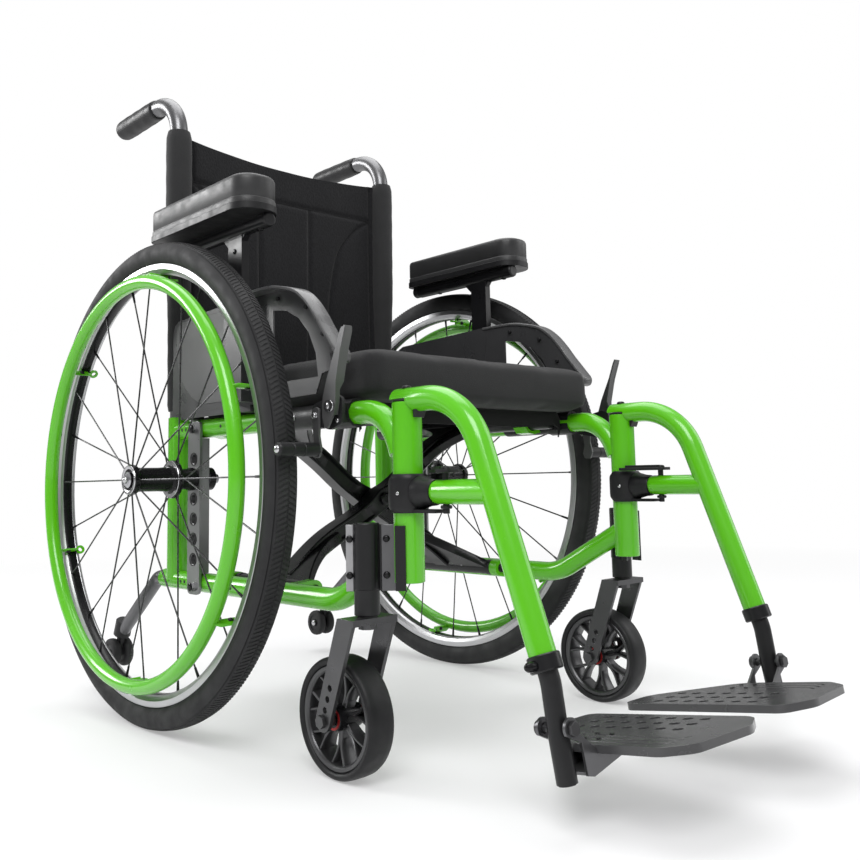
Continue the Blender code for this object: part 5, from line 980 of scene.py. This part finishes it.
def arm_pad(side, s):
    """A long moulded pad with upright walls, a round nose, a band round its foot and a crowned top."""
    px, wide, front, rear, low, top = 0.2337, 0.0298, -0.2056, 0.0217, 0.6217, 0.6638

    def ring(inset, z):
        radii = [max(0.0262 - inset, 0.004)] * 2 + [max(0.01 - inset, 0.003)] * 2
        line = oblong(px - wide + inset, px + wide - inset, front + inset, rear - inset, radii, 10, 6)
        return [(s * a, b, z) for a, b in line]

    wall = mm((3, 0), (0.6, 0.8), (0, 2.4), (0, 11.6), (0.4, 12.8), (1.5, 13.2), (1.5, 14), (0.7, 15), at=(0, low))
    wall += mm((0.7, -7.5), (1, -5), (2.1, -2.6), (4.2, -1), (8.5, -0.3), (15, 0), (21.5, 0.1), at=(0, top))
    skin = part("arm_pad_skin", side, rings([ring(inset, z) for inset, z in wall]), "pad", "armrest", smooth=75,
                replaces="arm_pad")
    foot = [ring(-0.0012, low - 0.0026), ring(-0.0012, low + 0.0062)]
    part("arm_pad_base", side, rings(foot), "black", "armrest", edge=0.0006)
    rail_x, rail_z, post_y = 0.2206, 0.6122, -0.1304
    rail = rod((s * rail_x, rear - 0.004, rail_z), (s * rail_x, front + 0.006, rail_z), 0.0092, 28, soft=0.0022)
    keel = box(s, (rail_x - 0.0072, front + 0.02, rail_z - 0.003), (rail_x + 0.0072, rear - 0.006, rail_z + 0.009))
    gusset = slab(mm((-22.5, 0), (34.5, 0), (15.5, -21), (-15.5, -14), at=(post_y, rail_z)), s * (rail_x - 0.0036),
                  s * (rail_x + 0.0036))
    part("arm_rail", side, [rail, keel, gusset], "arm_metal", "armrest", edge=0.0006)
    screws = [dome((s * rail_x, y, rail_z - 0.009), (0, 0, -1), 0.0036, 0.0022, 16) for y in (-0.18, -0.04)]
    screws += [dome((s * (rail_x + 0.0053), post_y, z), (s, 0, 0), 0.0034, 0.0016, 16) for z in (0.556, 0.584)]
    part("arm_screws", side, screws, "gloss_black", "armrest", smooth=45)


def mudguard(side, s):
    """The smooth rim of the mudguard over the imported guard, the guard's flat shield and the rim's pins."""
    inner = 0.206
    line = mm((-145.9, 0), (-200, -0.5), (-228.5, -5), (-256, -13), (-277, -27.5), (-294, -46), (-306, -62),
              (-329, -90), (-332.5, -96.5), (-330.5, -103), (-324.5, -105), at=(0, PANEL_TOP))
    section = mm((-0.4, 0.6), (0.4, -0.4), (19, -0.4), (20.6, 0.6), (20.6, 3), (19, 3.8), (0.4, 3.8), (-0.4, 3),
                 at=(inner, 0))
    curve = smooth_line([(a, b, 0) for a, b in line], 8)
    loops = []
    for i, p in enumerate(curve):
        t = (curve[min(i + 1, len(curve) - 1)] - curve[max(i - 1, 0)]).normalized()
        loops.append([(s * q, p.x - t.y * by, p.y + t.x * by) for q, by in section])
    # painted highlight: the rim is given a lighter copy of the guard's grey
    part("mudguard_rim", side, rings(loops), "guard_rim_painted_highlight", smooth=34)
    shield = rounded(mm((-150, 402), (42, 402), (42, 518), (-150, 518)), [0.006, 0.085, 0.014, 0.01], 14)
    part("guard_shield", side, slab(shield, s * 0.2094, s * 0.211), "shield", edge=0.0006)
    pins = [beam(s * (inner - 0.0022), s * (inner + 0.0062), y + 0.007, z - 0.008, 0.0026, 14, soft=0.0004)
            for y, z in mm((-208, 523.5), (-264, 505), (-295, 470), (-313, 444))]
    part("mudguard_pins", side, pins, "black", smooth=40)


# Soft pieces
def surface(rows, thick):
    """A closed sheet over a grid of points, thickened along its own normals."""
    n, m = len(rows), len(rows[0])
    faces = []
    points = [Vector(p) for row in rows for p in row]
    normals = []
    for i in range(n):
        for j in range(m):
            u = Vector(rows[min(i + 1, n - 1)][j]) - Vector(rows[max(i - 1, 0)][j])
            v = Vector(rows[i][min(j + 1, m - 1)]) - Vector(rows[i][max(j - 1, 0)])
            normals.append(u.cross(v).normalized())
    back = [p - q * thick for p, q in zip(points, normals)]
    for i in range(n - 1):
        for j in range(m - 1):
            a, b, c, d = i * m + j, i * m + j + 1, (i + 1) * m + j + 1, (i + 1) * m + j
            faces += [(a, b, c, d), (a + n * m, d + n * m, c + n * m, b + n * m)]
    rim = ([(0, j) for j in range(m)] + [(i, m - 1) for i in range(1, n)] + [(n - 1, j) for j in range(m - 2, -1, -1)]
           + [(i, 0) for i in range(n - 2, 0, -1)])
    for (i, j), (k, l) in zip(rim, rim[1:] + rim[:1]):
        faces.append((i * m + j, i * m + j + n * m, k * m + l + n * m, k * m + l))
    return points + back, faces


def cloth_pass(obj, pressure, cap):
    """Puffs a pad up a little with Blender's cloth, and keeps the result."""
    rest_mesh = obj.data
    step = obj.modifiers.new("remesh", "REMESH")
    step.mode, step.voxel_size = "VOXEL", 0.005
    graph = bpy.context.evaluated_depsgraph_get()
    obj.data = bpy.data.meshes.new_from_object(obj.evaluated_get(graph))
    obj.modifiers.clear()
    start = [v.co.copy() for v in obj.data.vertices]
    puff = obj.modifiers.new("puff", "CLOTH")
    puff.settings.use_pressure = True
    puff.settings.uniform_pressure_force = pressure
    puff.settings.effector_weights.gravity = 0
    puff.settings.tension_stiffness = puff.settings.compression_stiffness = 25
    puff.settings.bending_stiffness = 2
    puff.point_cache.frame_start, puff.point_cache.frame_end = 1, CLOTH_FRAMES
    for number in range(1, CLOTH_FRAMES + 1):
        bpy.context.scene.frame_set(number)
    graph = bpy.context.evaluated_depsgraph_get()
    made = bpy.data.meshes.new_from_object(obj.evaluated_get(graph))
    obj.modifiers.clear()
    bpy.context.scene.frame_set(1)
    for vertex, was in zip(made.vertices, start):
        way = vertex.co - was
        if way.length > cap:
            vertex.co = was + way.normalized() * cap
    obj.data = made
    bpy.data.meshes.remove(rest_mesh)


def cushion():
    """The cushion's cover: upright walls, a crowned top and sides that are drawn in a little at the foot."""
    base, half, front, rear = 0.3898, 0.196, -0.356, 0.03
    top, middle, reach = base + 0.048, (front + rear) / 2, (rear - front) / 2

    def ring(inset, z, pull):
        corner, out = max(0.018 - inset * 0.3, 0.006), []
        for a, b in oblong(inset - half, half - inset, front + inset, rear - inset, [corner] * 4, 8, 8):
            u, v = a / half, (b - middle) / reach
            draw = pull * (1 - min(abs(u), 1) ** 2) * (abs(v) > 0.9) + pull * (1 - min(abs(v), 1) ** 2) * (abs(u) > 0.9)
            out.append((a * (1 - draw / half), b - math.copysign(draw, v) * (abs(v) > 0.9), z))
        return out

    rows = mm((12, 0.4, 1), (4, 1.6, 1), (0.8, 6, 0.5), (0, 18, 0), (0.4, 34, 0), at=(0, base, 0))
    rows += mm((1.2, -6, 0), (3, -2.4, 0), (6.5, -0.2, 0), (15, 1.2, 0), (40, 2.4, 0), (80, 3.5, 0), (130, 4.2, 0),
               at=(0, top, 0))
    obj = piece("cushion_cover", rings([ring(*row) for row in rows]), "cloth", smooth=80, replaces=["cushion"])
    cloth_pass(obj, 3.0, 0.004)
    obj.data.shade_smooth()
    return obj


def seat_sling():
    """The seat's cloth: it wraps both rails, sags between them and hangs over in front as a flap."""
    rows, under = [], SEAT_RAIL_R + 0.0004
    stations = mm((-310, -20.5), (-310.2, -12), (-310, -4), (-308.5, -0.8))
    stations += [(-0.304 + 0.346 * i / 24, 0.0) for i in range(25)]
    wrap = arc((0, 0), under, -14, 90, 7)
    for y, drop in stations:
        z, along = SEAT_RAIL_Z + drop, (y + 0.131) / 0.173
        row = [(-BRACE_X - a, y, z + b) for a, b in wrap]
        for j in range(1, 32):
            share = 2 * j / 32 - 1
            sag = 0.006 * (1 - share ** 4) * (1 - 0.25 * abs(along) ** 3)
            row.append((share * BRACE_X, y, z + under - sag))
        rows.append(row + [(BRACE_X + a, y, z + b) for a, b in reversed(wrap)])
    return piece("seat_cloth", surface(rows, 0.0022), "edge_cloth", smooth=70, replaces=["seat_sling"])


def seam_lines():
    """The back's seams as lines of (x, z): one across, two upright and two curved."""
    curve = mm((170, 740), (150, 728), (128, 708), (108, 680), (98, 650), (91, 610), (87, 560), (85, 490))
    curve.append((0.084, BACK_LOW))
    lines = [[(-0.172, 0.741), (0.172, 0.741)]]
    for way in (-1, 1):
        lines.append([(way * 0.048, 0.74), (way * 0.046, BACK_LOW)])
        lines.append([(way * 0.1705, BACK_TOP - 0.012), (way * 0.1705, BACK_LOW)])
        lines.append([(way * p.x, p.y) for p in smooth_line([(a, b, 0) for a, b in curve], 4)])
    return lines


SEAMS = [pair for line in seam_lines() for pair in zip(line, line[1:])]


def seam_dip(x, z):
    """How far a seam draws the padded back in at a point."""
    nearest = 1.0
    for (a, b), (c, d) in SEAMS:
        length = (c - a) ** 2 + (d - b) ** 2
        share = min(max(((x - a) * (c - a) + (z - b) * (d - b)) / length, 0), 1)
        nearest = min(nearest, math.hypot(x - a - share * (c - a), z - b - share * (d - b)))
    return 0.0036 * math.exp(-(nearest / 0.0032) ** 2)


def back_point(u, z, off=0.0):
    """A point on the back's cloth: u from -1 to 1 across it, off in front of it."""
    x = u * (FRAME_X - 0.004)
    bow = 0.009 * (1 - abs(u) ** 2.2)
    wrinkle = 0.0012 * noise.noise(Vector((u * 3.1, z * 9.0, 1.7)))
    low = 0.006 * (1 - abs(u)) * max(0.0, 1 - (z - BACK_LOW) / 0.12)
    return Vector((x, UPRIGHT_Y + 0.003 + bow + wrinkle + low + seam_dip(x, z) - off, z))


def back_top(u):
    """The height of the back's curved top edge."""
    return BACK_TOP - 0.0045 - 0.01 * (1 - abs(u) ** 2.0)


def back_cloth():
    """The padded back between the canes, its stitched seams, and the sleeves that hold it."""
    rows, steps = [], 132
    for i in range(steps + 1):
        row = []
        for j in range(steps + 1):
            u = 2 * j / steps - 1
            z = (BACK_LOW + 0.004) + (back_top(u) - BACK_LOW - 0.004) * i / steps
            row.append(back_point(u, z))
        rows.append(row)
    panel = piece("back_cloth", surface(rows, -0.005), "mesh_cloth", "right_side", smooth=70,
                  replaces=["back_upholstery"])
    stitches = []
    for line in seam_lines():
        cord = []
        for (a, b), (c, d) in zip(line, line[1:]):
            count = max(int(math.hypot(c - a, d - b) / 0.006), 1)
            cord += [(a + (c - a) * k / count, b + (d - b) * k / count) for k in range(count)]
        cord = [(x, z) for x, z in cord + [line[-1]] if BACK_LOW + 0.007 < z < back_top(x / 0.186) - 0.005]
        stitches.append(sweep([back_point(x / (FRAME_X - 0.004), z, -0.0002) for x, z in cord], 0.001, 8))
    piping = piece("back_cords", stitches, "edge_cloth", "right_side", smooth=60)
    for side, s in SIDES.items():
        loops = []
        for k in range(46):
            z = BACK_LOW + (BACK_TOP - 0.001 - BACK_LOW) * k / 45
            share = min(max((z - PANEL_TOP) / 0.09, 0), 1)
            r = 0.0158 + 0.003 * share + 0.0002 * math.sin(z * 190) - {0: 0.0016, 44: 0.0006, 45: 0.0028}.get(k, 0)
            x = s * (FRAME_X + LEAN * (z - BACK_LOW) / (HANDLE_Z - BACK_LOW))
            wall = []
            for a in turns(36):
                flat = 1.0 if math.cos(a) * s > -0.2 else 0.93
                wall.append((x + r * flat * math.cos(a), UPRIGHT_Y + 0.001 + r * math.sin(a), z))
            loops.append(wall)
        sleeve = part("back_sleeve", side, rings(loops), "sleeve", smooth=60)
    return panel, piping


def carried_over():
    """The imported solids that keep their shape, with their finishes."""
    for side in SIDES:
        for node, look, edge in (("axle_plate", "axle_plate", 0.0005), ("caster_fork", "fork", 0.0007),
                                 ("caster_axle", "fork", 0.0004), ("armrest_post", "satin_black", 0.0007),
                                 ("side_panel", "guard", 0.0004), ("brake_clamp", "black", 0.0005)):
            dress(f"{node}_{side}", look, edge)
    dress("brace_bolt", "gloss_black", 0.0005)


def stage():
    """A pale floor that fades into a white surround, soft light and the camera at the photograph's place."""
    reach = 12.0
    mesh = bpy.data.meshes.new("floor")
    mesh.from_pydata([(reach * math.cos(a), reach * math.sin(a), 0) for a in turns(64)], [], [tuple(range(64))])
    made, tree, out = shader("pale_floor", (0.84, 0.84, 0.85), 0.6)
    tree.links.new(spread(tree, grain(tree, 1.2, 2), 0.55, 0.65), out.inputs["Roughness"])
    out.inputs["Specular IOR Level"].default_value = 0.1
    glow, mix, far = shader_node(tree, "Emission"), shader_node(tree, "MixShader"), shader_node(tree, "VectorMath")
    far.operation = "LENGTH"
    tree.links.new(place(tree), far.inputs[0])
    tree.links.new(spread(tree, far.outputs["Value"], FLOOR_GLOW, 1.0, 0.7, 3.0), mix.inputs[0])
    tree.links.new(out.outputs[0], mix.inputs[1])
    tree.links.new(glow.outputs[0], mix.inputs[2])
    tree.links.new(mix.outputs[0], tree.nodes["Material Output"].inputs["Surface"])
    mesh.materials.append(made)
    floor = show("floor", mesh)
    surround = bpy.data.meshes.new("surround")
    bm = bmesh.new()
    bmesh.ops.create_icosphere(bm, subdivisions=4, radius=reach)
    bm.to_mesh(surround)
    bm.free()
    around = show("surround", surround)
    white = bpy.data.materials.new("white_surround")
    white.use_nodes = True
    glow = shader_node(white.node_tree, "Emission")
    white.node_tree.links.new(glow.outputs[0], white.node_tree.nodes["Material Output"].inputs["Surface"])
    surround.materials.append(white)
    around.visible_diffuse = around.visible_glossy = around.visible_transmission = around.visible_shadow = False
    world = bpy.data.worlds.new("studio")
    world.use_nodes = True
    sky, link = world.node_tree.nodes["Background"], world.node_tree.links.new
    sky.inputs["Color"].default_value = (1, 1, 1, 1)
    where, split = shader_node(world.node_tree, "TexCoord"), shader_node(world.node_tree, "SeparateXYZ")
    link(where.outputs["Generated"], split.inputs[0])
    link(spread(world.node_tree, split.outputs["Z"], SKY_LOW, SKY_HIGH, -0.1, 0.9), sky.inputs["Strength"])
    bpy.context.scene.world = world
    for name, at, size, power, aim in (("key", (-1.8, -1.6, 2.6), 1.6, 62, (0, 0, 0.4)),
                                       ("fill", (2.4, -1.4, 1.6), 2.0, 22, (0, 0, 0.4)),
                                       ("top", (0.2, 0.6, 3.0), 2.4, 52, (0, 0, 0.3)),
                                       ("rim", (-1.9, 3.0, 1.7), 1.2, 60, (0, 0, 0.5))):
        light = bpy.data.lights.new(name, "AREA")
        light.energy, light.size = power, size
        lamp = show(name, light)
        lamp.location, lamp.rotation_euler = at, (Vector(aim) - Vector(at)).to_track_quat("-Z", "Y").to_euler()
    camera = bpy.data.cameras.new("camera")
    camera.lens, camera.sensor_width = 38.34, 36
    camera.shift_x, camera.shift_y = 0.0185, -0.0664
    yaw, pitch, roll = math.radians(42.95), math.radians(6.67), math.radians(-1.12)
    ahead = Vector((math.sin(yaw) * math.cos(pitch), math.cos(yaw) * math.cos(pitch), math.sin(pitch)))
    right = ahead.cross(Vector((0, 0, 1))).normalized()
    up = right.cross(ahead)
    right, up = right * math.cos(roll) + up * math.sin(roll), up * math.cos(roll) - right * math.sin(roll)
    obj = show("camera", camera)
    basis = Matrix((right, up, -ahead)).transposed().to_4x4()
    obj.matrix_world = Matrix.Translation((-0.8234, -0.9005, 0.298)) @ basis
    bpy.context.scene.camera = obj
    bpy.context.scene.view_settings.view_transform = "Standard"


def main():
    """Builds the stage and every piece, bakes the places of the cushion and the sling into their meshes and gives the
    back's cloth meshes of its own.
    """
    for obj in list(bpy.data.objects):
        if obj.type in ("LIGHT", "CAMERA") or obj.name == "Cube":
            bpy.data.objects.remove(obj)
    stage()
    for side, s in SIDES.items():
        for make in (rear_tyre, rear_wheel, axle, caster, side_frame, back_post, axle_plate_trim, housing, hanger,
                     latch, leg, footplate, anti_tip, arm_pad, brake, mudguard):
            make(side, s)
    cross_arm("a", -1, -0.104)
    cross_arm("b", 1, -0.134)
    carried_over()
    cover = cushion()
    sling = seat_sling()
    for obj in (cover, sling):
        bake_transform(obj)
    panel, piping = back_cloth()
    for obj in (panel, piping):
        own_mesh(obj)


main()
